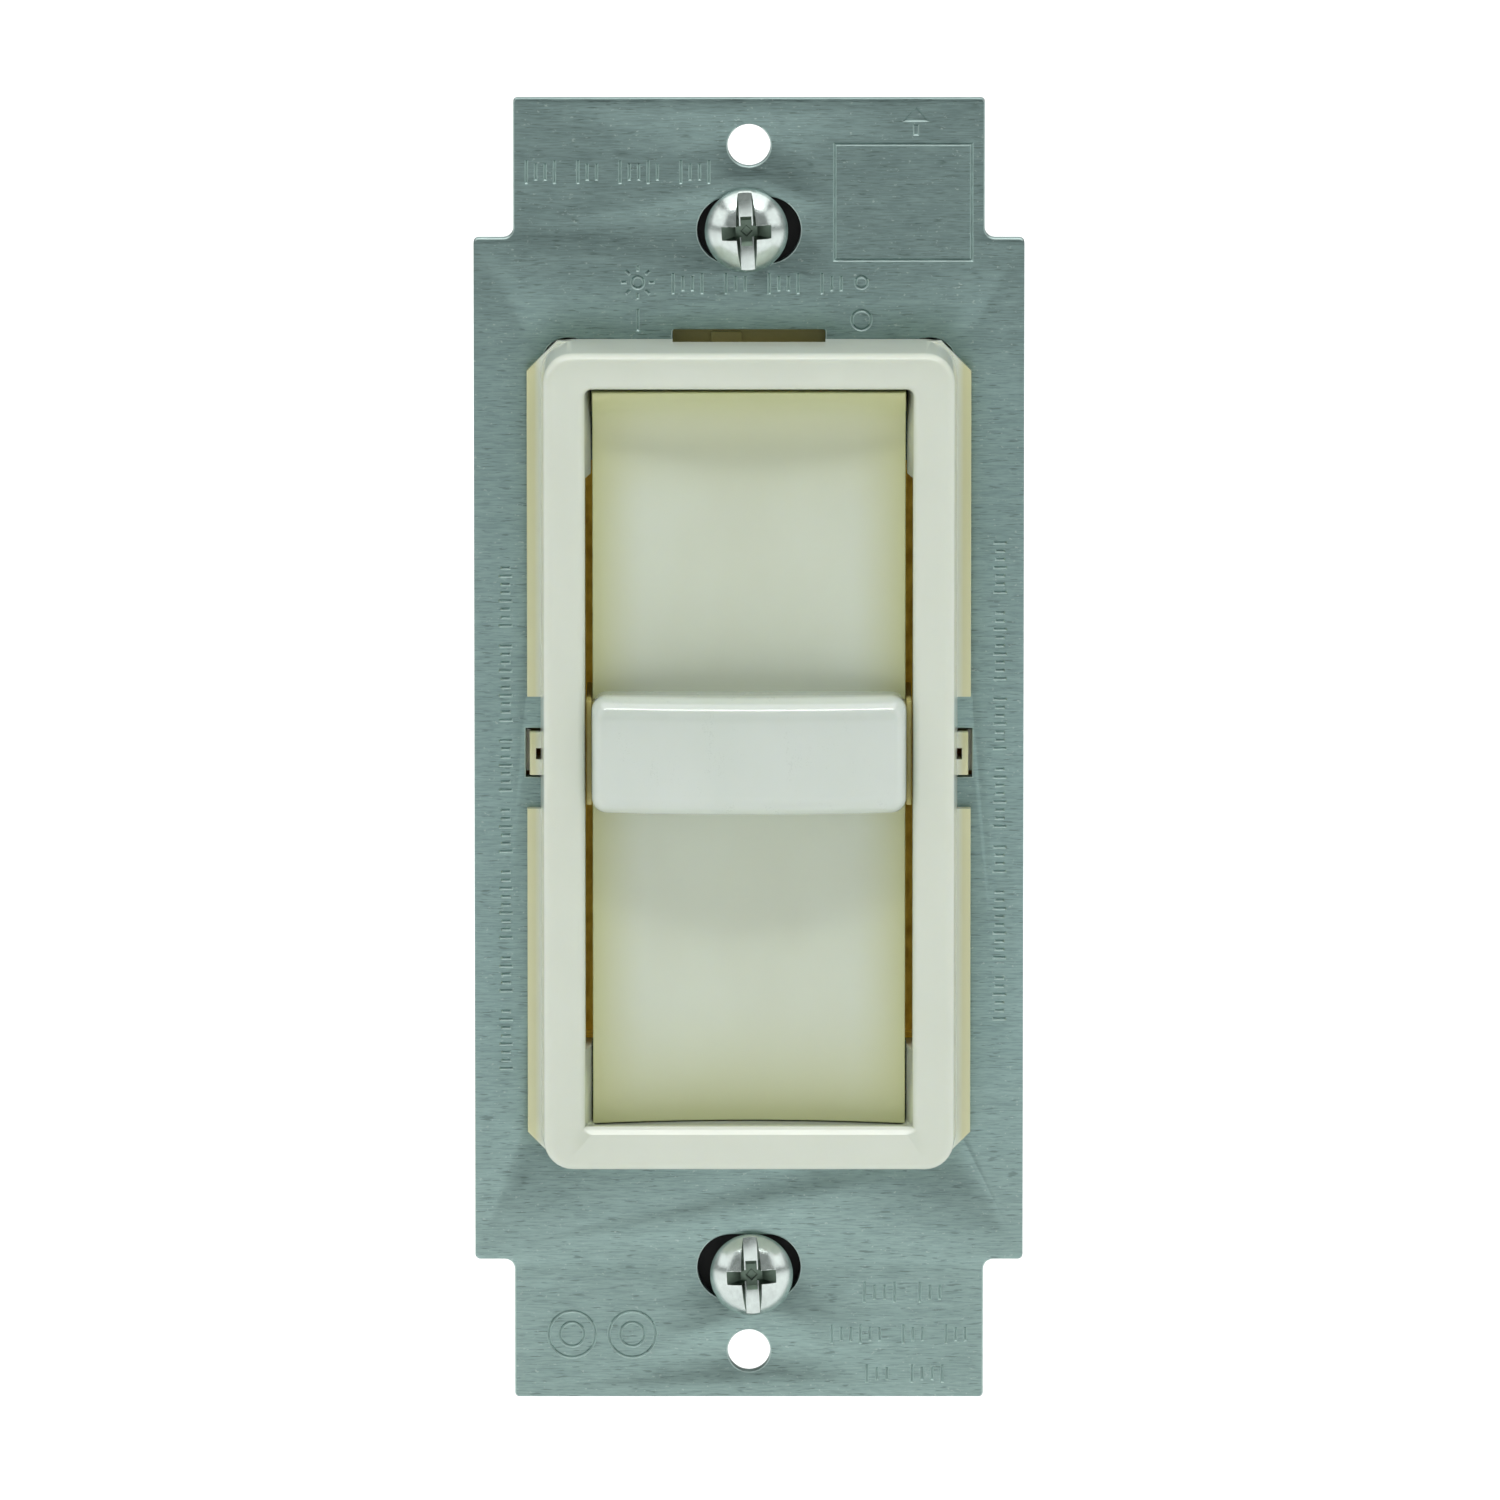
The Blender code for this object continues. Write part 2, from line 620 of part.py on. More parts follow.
def push_switch():
    """A push-on, push-off switch: its case, plunger, return spring, bridge and two terminals."""
    x, z = POST_TIP_X, POST_TIP_Z
    half_x, half_z = SWITCH_HALF
    bridge_x, bridge_z = BRIDGE_HALF
    slot_y = (BRIDGE_Y[0] - 1.2, BRIDGE_Y[1] + BRIDGE_TRAVEL)
    case = box("switch_body", (x - half_x, x + half_x), SWITCH_Y, (z - half_z, z + half_z))
    cut(case, cylinder("bore", PLUNGER_RADIUS + RUN_GAP, x, (SWITCH_Y[0] - 0.5, SWITCH_BORE_END), z))
    cut(case, box("bridge_slot", (x - bridge_x - 0.5, x + bridge_x + 0.5), slot_y, (z - 0.8, z + 0.8)))
    cut(case, box("bridge_mouth", (x - half_x - 1.0, x - 2.5), (6.6, 8.6), (z - 0.6, z + 0.6)))
    paint(case, BLACK)
    plunger = cylinder("switch_plunger", PLUNGER_RADIUS, x, PLUNGER_Y, z)
    seat_y = (BRIDGE_Y[0] - 0.1, BRIDGE_Y[1] + 0.1)
    cut(plunger, box("bridge_seat", (x - 2.0, x + 2.0), seat_y, (z - bridge_z - RUN_GAP, z + bridge_z + RUN_GAP)))
    paint(plunger, IVORY_LIGHT)
    bridge = box("switch_bridge", (x - bridge_x, x + bridge_x), BRIDGE_Y, (z - bridge_z, z + bridge_z))
    paint(bridge, BRASS)
    coil_start, coil_length = PLUNGER_Y[1] + 0.35, 1.7
    coil = []
    for i in range(COIL_TURNS * COIL_STEPS + 1):
        angle = 2 * math.pi * i / COIL_STEPS
        y = coil_start + coil_length * i / (COIL_TURNS * COIL_STEPS)
        coil.append((x + COIL_RADIUS * math.cos(angle), y, z + COIL_RADIUS * math.sin(angle)))
    paint(wire("switch_spring", coil, COIL_WIRE, 1), STEEL)
    for number, side in enumerate((1, -1), 1):
        span = sorted((x + side * TERMINAL_X, x + side * (TERMINAL_X + TERMINAL_THICK)))
        terminal_z = (z - TERMINAL_HALF, z + TERMINAL_HALF)
        terminal = box(f"switch_terminal_{number}", span, (SWITCH_Y[1] + SEAT_GAP, PIN_END), terminal_z)
        paint(terminal, TIN)
    joint("switch_axis", (x, PLUNGER_Y[0], z), plunger, bridge)


# ---------------------------------------------------------------- slider


def slider_knob():
    half_width = KNOB_WIDTH / 2
    bulge_radius = (half_width**2 + KNOB_BULGE**2) / (2 * KNOB_BULGE)
    outline = rounded(KNOB_WIDTH, KNOB_HEIGHT, KNOB_CORNER, 0.0, REST_Z)
    knob = flat("slider_knob", [outline], (KNOB_FRONT - 1.3, KNOB_REAR))
    front = cylinder("front", bulge_radius, 0.0, KNOB_FRONT + bulge_radius, (-20.0, 20.0), 180)
    keep(knob, front)
    bevel(knob, KNOB_EDGE, 3, 40.0)
    hollow_x, hollow_z, wall = KNOB_HOLLOW
    hollow = box("hollow", (-hollow_x, hollow_x), (KNOB_FRONT + wall, 0.0), (REST_Z - hollow_z, REST_Z + hollow_z))
    cut(knob, hollow)
    leg_z = (LEG_Z - LEG_HALF_HEIGHT, LEG_Z + LEG_HALF_HEIGHT)
    inner_z = (leg_z[0] + 0.4, leg_z[1] - 0.4)
    for span in both_sides(LEG_INNER - LEG_SHOULDER, LEG_OUTER - 0.05):
        add(knob, box("shoulder", span, (LEG_FRONT + 0.05, KNOB_REAR - 0.05), inner_z))
    for span in both_sides(LEG_INNER, LEG_OUTER):
        add(knob, box("leg", span, (LEG_FRONT, LEG_END), leg_z))
    for span in both_sides(LEG_INNER - LEG_HOOK, LEG_INNER + 0.3):
        add(knob, box("hook", span, (CARRIAGE_Y[1] + SEAT_GAP, LEG_END - 0.02), inner_z))
    return paint(knob, IVORY_LIGHT)


def slider_carriage():
    low, high = REST_Z - CARRIAGE_HALF_HEIGHT, REST_Z + CARRIAGE_HALF_HEIGHT
    carriage = box("slider_carriage", (-CARRIAGE_HALF_WIDTH, CARRIAGE_HALF_WIDTH), CARRIAGE_Y, (low, high))
    socket_x, socket_z = LEVER[0] + SEAT_GAP, LEVER[1] + SEAT_GAP
    cut(carriage, box("socket", (-socket_x, socket_x), (0.0, 4.0), (REST_Z - socket_z, REST_Z + socket_z)))
    for span in both_sides(*POCKET_X):
        cut(carriage, box("pocket", span, (0.0, 2.0), (low + POCKET_WALL, high - POCKET_WALL)))
    return paint(carriage, IVORY)


def brake_spring():
    """A bowed leaf between the carriage and the potentiometer, which keeps the slider where it is put."""
    count = 8
    z = [REST_Z + edge for edge in SPRING_Z]
    path = []
    for i in range(2 * count + 1):
        across = -1.0 + i / count
        path.append((across * SPRING_REACH, CARRIAGE_Y[1] + 0.3 + SPRING_RISE * (1 - across**2)))
    bm = bmesh.new()
    strip = [bm.verts.new((x * MM, y * MM, z[0] * MM)) for x, y in path]
    for a, b in zip(strip, strip[1:]):
        bm.edges.new((a, b))
    grown = bmesh.ops.extrude_edge_only(bm, edges=bm.edges[:])
    for vertex in [v for v in grown["geom"] if isinstance(v, bmesh.types.BMVert)]:
        vertex.co.z = z[1] * MM
    spring = mesh_object("brake_spring", bm, (0.0, 0.0, 0.0))
    sheet = spring.modifiers.new("sheet", "SOLIDIFY")
    sheet.thickness = SPRING_SHEET * MM
    sheet.offset = 0.0
    return paint(spring, BRASS)


def potentiometer():
    """A slide potentiometer: sheet case, base with its track, wiper block, lever and three pins."""
    half, length = POT_HALF_WIDTH, POT_HALF_LENGTH
    case = box("pot_case", (-half, half), POT_Y, (-length, length))
    inner, depth = half - POT_SHEET, POT_Y[0] + POT_SHEET
    cut(case, box("inside", (-inner, inner), (depth, 15.0), (-length + POT_SHEET, length - POT_SHEET)))
    slot_x, slot_z = POT_SLOT_HALF
    cut(case, box("lever_slot", (-slot_x, slot_x), (4.0, 6.0), (-slot_z, slot_z)))
    paint(case, STEEL)
    base_x, base_z = inner - SEAT_GAP, length - POT_SHEET - SEAT_GAP
    base = box("pot_base", (-base_x, base_x), (POT_BASE_START, POT_Y[1] - 0.05), (-base_z, base_z))
    groove_x, groove_z, groove_depth = POT_GROOVE
    groove_y = (POT_BASE_START - 1.0, POT_BASE_START + groove_depth)
    cut(base, box("groove", (-groove_x, groove_x), groove_y, (-groove_z, groove_z)))
    paint(base, BOARD)
    wiper_x, wiper_z = WIPER_HALF
    wiper = box("pot_wiper", (-wiper_x, wiper_x), WIPER_Y, (REST_Z - wiper_z, REST_Z + wiper_z))
    finger_z = (REST_Z - FINGER_HALF_HEIGHT, REST_Z + FINGER_HALF_HEIGHT)
    for span in both_sides(FINGER_WIDTH, 2 * FINGER_WIDTH):
        add(wiper, box("finger", span, (WIPER_Y[1] - 0.4, WIPER_TIP), finger_z))
    paint(wiper, BLACK)
    lever_x, lever_z = LEVER
    lever = box("pot_lever", (-lever_x, lever_x), LEVER_Y, (REST_Z - lever_z, REST_Z + lever_z))
    foot_x, foot_z = LEVER_FOOT
    add(lever, box("foot", (-foot_x, foot_x), LEVER_FOOT_Y, (REST_Z - foot_z, REST_Z + foot_z)))
    paint(lever, STEEL)
    for number, (x, z) in enumerate(POT_PINS, 1):
        pin = cylinder(f"pot_pin_{number}", PIN_RADIUS, x, (POT_Y[1] + SEAT_GAP, PIN_END), z, 10)
        paint(pin, TIN)
    return wiper, lever


def slider():
    knob, carriage, spring = slider_knob(), slider_carriage(), brake_spring()
    wiper, lever = potentiometer()
    joint("slider_axis", (0.0, 0.0, REST_Z), knob, carriage, spring, wiper, lever)


# ---------------------------------------------------------------- guards behind the leg slots


def slot_guard(name, side):
    """A thin strip behind one leg slot, on two feet that stand on the strap."""
    x = sorted((side * GUARD_X[0], side * GUARD_X[1]))
    guard = box(name, x, GUARD_Y, (-GUARD_HALF_LENGTH, GUARD_HALF_LENGTH))
    for end in (-GUARD_HALF_LENGTH, GUARD_HALF_LENGTH):
        foot_z = sorted((end, math.copysign(GUARD_HALF_LENGTH - GUARD_FOOT, end)))
        add(guard, box("foot", x, (SEAT_GAP, GUARD_Y[1]), foot_z))
    paint(guard, BEIGE)


# ---------------------------------------------------------------- triac on the strap


def triac():
    """A power switch in a flat package, riveted to the strap through an insulating pad."""
    z = (TRIAC_Z - TRIAC_HALF, TRIAC_Z + TRIAC_HALF)
    middle_x, middle_z = (TRIAC_X[0] + TRIAC_X[1]) / 2, TRIAC_Z
    width = TRIAC_X[1] - TRIAC_X[0]
    hole = circle(1.75, RIVET_X, TRIAC_Z)
    edge = rounded(width, 2 * TRIAC_HALF, 0.4, middle_x, middle_z, 2)
    paint(flat("insulator_pad", [edge, hole], INSULATOR_Y), BEIGE)
    tab_edge = rounded(width - 0.6, 2 * TRIAC_HALF - 0.4, 0.3, middle_x, middle_z, 2)
    paint(flat("triac_tab", [tab_edge, hole], TRIAC_TAB_Y), TIN)
    body = box("triac_body", (RIVET_X + 3.6, TRIAC_X[1]), TRIAC_BODY_Y, z)
    bevel(body, 0.35, 1)
    paint(body, BLACK)
    front = STRAP_FRONT + 0.03
    profile = [(0.0, front), (2.3, front), (1.42, -0.45), (1.42, 1.75), (2.5, 1.75), (2.1, 2.5), (0.0, 2.5)]
    paint(turned("triac_rivet", profile, RIVET_X, TRIAC_Z, 20), TIN)
    for number in (1, 2, 3):
        lead_z = TRIAC_Z + (number - 2) * LEAD_PITCH
        span = (lead_z - LEAD_HALF_WIDTH, lead_z + LEAD_HALF_WIDTH)
        leg_x = (LEAD_X - LEAD_HALF_THICK, LEAD_X + LEAD_HALF_THICK)
        lead = box(f"triac_lead_{number}", (TRIAC_X[1] + SEAT_GAP, leg_x[1] + 0.05), LEAD_Y, span)
        add(lead, box("leg", leg_x, (LEAD_Y[0] + 0.1, PIN_END), (span[0] + 0.05, span[1] - 0.05)))
        paint(lead, TIN)


# ---------------------------------------------------------------- lamp and its selector


def locator_lamp():
    """A neon lamp in a sleeve that stands on the board and shines into the pad's upper end."""
    tip, rear = LAMP_Y
    dome = []
    for i in range(6):
        angle = math.radians(18 * i)
        dome.append((LAMP_RADIUS * math.sin(angle), tip + LAMP_RADIUS * (1 - math.cos(angle))))
    paint(turned("locator_lamp", dome + [(LAMP_RADIUS, rear), (0.0, rear)], 0.0, LAMP_Z, 24), GLASS)
    sleeve_y = (SLEEVE_START, BOARD_Y[0] - SEAT_GAP)
    sleeve = cylinder("lamp_holder", LAMP_RADIUS + SLEEVE_WALL, 0.0, sleeve_y, LAMP_Z)
    cut(sleeve, cylinder("socket", LAMP_RADIUS + 0.1, 0.0, (SLEEVE_START - 1.0, rear + SEAT_GAP), LAMP_Z))
    paint(sleeve, BLACK)


def selector():
    """The lighted-option selector: a plate behind the strap's slot, which moves a wiper on the board."""
    left = -SELECTOR_TRAVEL / 2
    plate = box("selector_plate", (left - SELECTOR_HALF, left + SELECTOR_HALF), SELECTOR_Y, SELECTOR_Z)
    add(plate, box("nub", (left - NUB_HALF, left + NUB_HALF), (NUB_FRONT, SELECTOR_Y[0] + 0.3), NUB_Z))
    arm_y = (SELECTOR_Y[1] - 0.2, SELECTOR_WIPER_Y[0] - 0.1)
    add(plate, box("arm", (left - ARM_HALF, left + ARM_HALF), arm_y, ARM_Z))
    paint(plate, IVORY)
    case_x = (-SELECTOR_CASE_HALF, SELECTOR_CASE_HALF)
    case = box("selector_switch_body", case_x, (SELECTOR_CASE_START, BOARD_Y[0] - SEAT_GAP), SELECTOR_CASE_Z)
    slot_half, slot_end = SELECTOR_CASE_SLOT
    slot_z = (SELECTOR_WIPER_Z[0] - 0.25, SELECTOR_WIPER_Z[1] + 0.25)
    cut(case, box("travel_slot", (-slot_half, slot_half), (SELECTOR_CASE_START - 0.6, slot_end), slot_z))
    paint(case, BLACK)
    wiper_x = (left - SELECTOR_WIPER_HALF, left + SELECTOR_WIPER_HALF)
    wiper = box("selector_wiper", wiper_x, SELECTOR_WIPER_Y, SELECTOR_WIPER_Z)
    paint(wiper, BRASS)
    joint("selector_axis", (left, 0.0, sum(SELECTOR_SLOT_Z) / 2), plate, wiper)


# ---------------------------------------------------------------- circuit board and what is on its rear


def circuit_board():
    half_x, half_z = BOARD_HALF
    corner_x, corner_z = BOARD_CORNER
    edge = mirrored([(half_x, corner_z), (corner_x, corner_z), (corner_x, half_z)])
    holes = [circle(PIN_HOLE_RADIUS, x, z, 10) for x, z in POT_PINS]
    for number in (-1, 0, 1):
        holes.append(circle(PIN_HOLE_RADIUS, LEAD_X, TRIAC_Z + number * LEAD_PITCH, 10))
    for side in (1, -1):
        middle = POST_TIP_X + side * (TERMINAL_X + TERMINAL_THICK / 2)
        span = (middle - 0.5, middle + 0.5)
        holes.append(rectangle(span, (POST_TIP_Z - TERMINAL_HALF - 0.3, POST_TIP_Z + TERMINAL_HALF + 0.3)))
    return paint(flat("circuit_board", [edge] + holes, BOARD_Y), BOARD)


def choke():
    """A ring core with its winding, flat against the board."""
    x, z = CHOKE_PLACE
    front, rear = CHOKE_Y
    core_inner, core_outer = CORE_RADIUS
    winding_inner, winding_outer = WINDING_RADIUS
    core = cylinder("choke_core", core_outer, x, CHOKE_Y, z, 40)
    cut(core, cylinder("eye", core_inner, x, (front - 1.0, rear + 1.0), z, 32))
    paint(core, FERRITE)
    winding = cylinder("choke_winding", winding_outer, x, (front - 0.6, rear + 0.9), z, 40)
    cut(winding, cylinder("eye", winding_inner, x, (front - 2.0, rear + 2.0), z, 32))
    room = cylinder("room", core_outer + WINDING_GAP, x, (front - WINDING_GAP, rear + WINDING_GAP), z, 40)
    cut(room, cylinder("room_eye", core_inner - WINDING_GAP, x, (front - 0.5, rear + 0.5), z, 32))
    cut(winding, room)
    break_x, break_z = WINDING_BREAK
    cut(winding, box("break", (x - break_x, x + break_x), (front - 3.0, rear + 3.0), (z + break_z, z + 14.0)))
    paint(winding, ENAMEL)


def capacitor(name, look, x, z, size):
    """A box capacitor on the board's rear, centred at x and z."""
    width, depth, height = size
    start = BOARD_Y[1] + SEAT_GAP
    span_x, span_z = (x - width / 2, x + width / 2), (z - height / 2, z + height / 2)
    piece = box(name, span_x, (start, start + depth), span_z)
    bevel(piece, 0.5, 2)
    return paint(piece, look)


def axial(name, look, x, z, radius, length):
    """A small component with a lead at each end, bent down to the board."""
    y = BOARD_Y[1] + 0.6 + radius
    reach, lead = length / 2 + 1.8, 0.3
    piece = cylinder(name, radius, (x - length / 2, x + length / 2), y, z, 16)
    add(piece, cylinder("wire", lead, (x - reach, x + reach), y, z, 8))
    for side in (1, -1):
        end = x + side * (reach - lead)
        add(piece, cylinder("foot", lead * 0.98, end, (BOARD_Y[1] + SEAT_GAP, y), z, 8))
    return paint(piece, look)


# ---------------------------------------------------------------- housing


def back_housing():
    half_x, half_z = HOUSING_HALF
    front, rear = HOUSING_Y
    edge = rounded(2 * half_x, 2 * half_z, HOUSING_CORNER, 0.0, 0.0, 4)
    shell = flat("back_housing", [edge], HOUSING_Y)
    inner_x, inner_z = half_x - HOUSING_WALL, half_z - HOUSING_WALL
    floor = rear - HOUSING_WALL
    inside = flat("inside", [rounded(2 * inner_x, 2 * inner_z, 0.8, 0.0, 0.0, 2)], (front - 1.0, floor))
    cut(shell, inside)
    for x, z in POST_PLACES:
        add(shell, cylinder("boss", BOSS_RADIUS, x, (BOSS_FRONT, floor + 0.5), z))
    rib_y, rib_z = (BOARD_Y[1] + SEAT_GAP, floor + 0.4), (-RIB_HALF_LENGTH, RIB_HALF_LENGTH)
    for span in both_sides(inner_x - RIB_DEPTH, inner_x + 0.5):
        add(shell, box("rib", span, rib_y, rib_z))
    for x, z in POST_PLACES:
        cut(shell, cylinder("screw_hole", SCREW_HOLE_RADIUS, x, (0.0, BOSS_FACE + 2.0), z, 16))
        cut(shell, cylinder("counterbore", BOSS_BORE, x, (BOSS_FACE, rear + 1.0), z))
    for x in LEAD_HOLE_X:
        cut(shell, cylinder("lead_hole", SCREW_HOLE_RADIUS, x, (floor - 1.0, rear + 1.0), LEAD_HOLE_Z, 16))
    cut(shell, box("label_recess", LABEL_X, (rear - LABEL_DEPTH, rear + 1.0), LABEL_Z))
    return paint(shell, BLACK)


def housing_screw(name, x, z):
    """A self-tapping screw that clamps housing, strap and bezel together."""
    head_radius, head_height = HOUSING_SCREW_HEAD
    radius, end, seat = HOUSING_SCREW_RADIUS, HOUSING_SCREW_END, BOSS_FACE + 0.05
    crown = seat + head_height
    profile = [(0.0, end), (0.5, end), (radius, end + 1.4), (radius, seat), (head_radius, seat)]
    profile += [(head_radius, seat + 0.8), (head_radius - 0.5, crown - 0.25), (1.0, crown), (0.0, crown)]
    screw = turned(name, profile, x, z, 20)
    long, half, depth = HOUSING_SCREW_CROSS
    cut(screw, box("cross_x", (x - long, x + long), (crown - depth, crown + 1.0), (z - half, z + half)))
    cut(screw, box("cross_z", (x - half, x + half), (crown - depth, crown + 1.1), (z - long, z + long)))
    return paint(screw, STEEL)


def build():
    clear_scene()
    heat_sink_strap()
    for name, (x, z) in (("top", UPPER_SCREW), ("bottom", LOWER_SCREW)):
        box_screw(f"box_screw_{name}", x, z)
        screw_retainer(f"screw_retainer_{name}", x, z)
    bezel_frame()
    push_paddle()
    push_switch()
    slider()
    slot_guard("slot_guard_left", -1)
    slot_guard("slot_guard_right", 1)
    triac()
    locator_lamp()
    selector()
    circuit_board()
    choke()
    capacitor("film_capacitor_1", FILM_RED, 7.5, 14.0, (15.0, 9.0, 8.0))
    capacitor("film_capacitor_2", FILM_RED, -9.0, 14.0, (12.0, 8.0, 7.0))
    axial("diac", BLUE, 9.0, -25.5, 1.0, 3.6)
    axial("gate_resistor", BEIGE, 12.0, 5.5, 1.2, 6.3)
    axial("lamp_resistor", BEIGE, 0.0, 26.0, 1.2, 6.3)
    back_housing()
    for number, (x, z) in enumerate(POST_PLACES, 1):
        housing_screw(f"housing_screw_{number}", x, z)


build()
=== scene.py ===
"""The looks of a slide dimmer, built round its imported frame.

Everything is in metres, in the frame's own axes: the front faces -Y, +X is to the right and +Z is up. Shape
sizes are written in millimetres and MM turns them into metres.
"""

import math

import bmesh
import bpy
from mathutils import Matrix, Vector


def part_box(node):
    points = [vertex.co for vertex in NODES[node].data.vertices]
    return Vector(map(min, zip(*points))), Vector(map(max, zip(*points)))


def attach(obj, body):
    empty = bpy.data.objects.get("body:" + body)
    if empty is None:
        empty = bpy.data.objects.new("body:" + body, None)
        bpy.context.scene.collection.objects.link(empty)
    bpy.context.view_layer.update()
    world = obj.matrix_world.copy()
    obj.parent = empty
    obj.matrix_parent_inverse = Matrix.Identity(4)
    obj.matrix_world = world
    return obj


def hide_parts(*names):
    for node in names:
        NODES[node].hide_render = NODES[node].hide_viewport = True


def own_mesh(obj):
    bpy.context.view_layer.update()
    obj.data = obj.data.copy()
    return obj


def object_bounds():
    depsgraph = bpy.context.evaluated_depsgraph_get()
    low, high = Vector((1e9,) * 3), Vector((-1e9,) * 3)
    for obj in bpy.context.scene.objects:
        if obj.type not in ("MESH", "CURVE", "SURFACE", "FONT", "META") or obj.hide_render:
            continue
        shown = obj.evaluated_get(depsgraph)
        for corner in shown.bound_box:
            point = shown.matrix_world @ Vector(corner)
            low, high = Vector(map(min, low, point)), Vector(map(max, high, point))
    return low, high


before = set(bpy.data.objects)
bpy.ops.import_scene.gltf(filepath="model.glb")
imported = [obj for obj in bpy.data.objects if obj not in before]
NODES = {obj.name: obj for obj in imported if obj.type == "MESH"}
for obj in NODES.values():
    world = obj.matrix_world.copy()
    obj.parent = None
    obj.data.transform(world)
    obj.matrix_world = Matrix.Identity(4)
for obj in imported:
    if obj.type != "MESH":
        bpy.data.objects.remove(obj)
CAD_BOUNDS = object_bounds()
MM = 0.001
CORNERS = ((1, 1), (-1, 1), (-1, -1), (1, -1))
CAP_WELD, NODE_WELD = 2e-7, 1e-6


def span(node):
    """A node's lowest and highest corner, in millimetres."""
    low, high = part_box(node)
    return low / MM, high / MM


def middle(node):
    """The middle of a node's box in X and Z, in millimetres."""
    low, high = span(node)
    return (low.x + high.x) / 2, (low.z + high.z) / 2


def sided(sign, near, far):
    """A span in X on one side, the lower value first."""
    return sorted((sign * near, sign * far))


# ---------------------------------------- mesh tools


def new_object(name, data):
    obj = bpy.data.objects.new(name, data)
    bpy.context.scene.collection.objects.link(obj)
    return obj


def from_bmesh(name, bm):
    """A new object from a bmesh in millimetres."""
    bmesh.ops.scale(bm, vec=(MM, MM, MM), verts=bm.verts)
    bmesh.ops.recalc_face_normals(bm, faces=bm.faces)
    mesh = bpy.data.meshes.new(name)
    bm.to_mesh(mesh)
    bm.free()
    return new_object(name, mesh)


def shade(obj, angle=35.0):
    obj.data.shade_smooth()
    obj.data.set_sharp_from_angle(angle=math.radians(angle))
    return obj


def apply_modifiers(obj):
    """The object's mesh as its modifiers leave it."""
    bpy.context.view_layer.update()
    graph = bpy.context.evaluated_depsgraph_get()
    mesh = bpy.data.meshes.new_from_object(obj.evaluated_get(graph))
    old = obj.data
    obj.modifiers.clear()
    obj.data = mesh
    bpy.data.meshes.remove(old)


def bevel(obj, width, angle):
    modifier = obj.modifiers.new("bevel", "BEVEL")
    modifier.width = width * MM
    modifier.segments = 2
    modifier.limit_method = "ANGLE"
    modifier.angle_limit = math.radians(angle)
    modifier.harden_normals = False


def boolean(target, tool, operation):
    """Applies a Boolean at once and removes the tool."""
    modifier = target.modifiers.new("boolean", "BOOLEAN")
    modifier.operation = operation
    modifier.object = tool
    modifier.solver = "EXACT"
    apply_modifiers(target)
    mesh = tool.data
    bpy.data.objects.remove(tool, do_unlink=True)
    bpy.data.meshes.remove(mesh)


def cut(target, tool):
    boolean(target, tool, "DIFFERENCE")


def join(target, tool):
    boolean(target, tool, "UNION")


def merge(name, objects):
    """Several separate solids as one object."""
    bm = bmesh.new()
    for obj in objects:
        apply_modifiers(obj)
        obj.data.transform(obj.matrix_world)
        bm.from_mesh(obj.data)
        mesh = obj.data
        bpy.data.objects.remove(obj, do_unlink=True)
        bpy.data.meshes.remove(mesh)
    mesh = bpy.data.meshes.new(name)
    bm.to_mesh(mesh)
    bm.free()
    return new_object(name, mesh)


def box(name, x, y, z, round_edges=0.0):
    """A box between corner values in millimetres, with its edges rounded if asked."""
    bm = bmesh.new()
    bmesh.ops.create_cube(bm, size=1.0)
    spans = (x, y, z)
    for vertex in bm.verts:
        for axis, (low, high) in enumerate(spans):
            vertex.co[axis] = (low + high) / 2 + vertex.co[axis] * (high - low)
    if round_edges:
        bmesh.ops.bevel(bm, geom=bm.edges[:], offset=round_edges, segments=2, profile=0.5, affect="EDGES")
    return from_bmesh(name, bm)


def rod(name, radius, start, end, segments=24, end_radius=None):
    """A cylinder or cone between two points in millimetres."""
    start, end = Vector(start), Vector(end)
    along = end - start
    bm = bmesh.new()
    bmesh.ops.create_cone(
        bm,
        cap_ends=True,
        segments=segments,
        radius1=radius,
        radius2=radius if end_radius is None else end_radius,
        depth=along.length,
    )
    turn = Vector((0.0, 0.0, 1.0)).rotation_difference(along).to_matrix().to_4x4()
    bmesh.ops.transform(bm, matrix=Matrix.Translation((start + end) / 2) @ turn, verts=bm.verts)
    return shade(from_bmesh(name, bm))


def arc(centre, radius, start, end, count):
    """Points round an arc in X and Z, angles in degrees from +X towards +Z."""
    points = []
    for i in range(count + 1):
        angle = math.radians(start + (end - start) * i / count)
        points.append((centre[0] + radius * math.cos(angle), centre[1] + radius * math.sin(angle)))
    return points


def circle(radius, x, z, count=40):
    return arc((x, z), radius, 0, 360 * (count - 1) / count, count - 1)


def rounded(width, height, radius, x=0.0, z=0.0, count=8):
    """The outline of a rectangle with round corners, anticlockwise from its right side."""
    points = []
    for corner, (side_x, side_z) in enumerate(CORNERS):
        centre = (x + side_x * (width / 2 - radius), z + side_z * (height / 2 - radius))
        points += arc(centre, radius, 90 * corner, 90 * corner + 90, count)
    return points


def filleted(corners, count=5):
    """An outline from (x, z, fillet radius) corners."""
    points = []
    total = len(corners)
    for i, (x, z, radius) in enumerate(corners):
        if radius <= 0:
            points.append((x, z))
            continue
        here = Vector((x, z))
        back = (Vector(corners[i - 1][:2]) - here).normalized()
        ahead = (Vector(corners[(i + 1) % total][:2]) - here).normalized()
        half = back.angle(ahead) / 2
        reach = radius / math.tan(half)
        centre = here + (back + ahead).normalized() * (radius / math.sin(half))
        first, last = here + back * reach - centre, here + ahead * reach - centre
        turn = first.angle_signed(last)
        for step in range(count + 1):
            spoke = first.copy()
            spoke.rotate(Matrix.Rotation(-turn * step / count, 2))
            points.append(tuple(centre + spoke))
    return points


def rectangle(x, z):
    return [(x[0], z[0]), (x[1], z[0]), (x[1], z[1]), (x[0], z[1])]


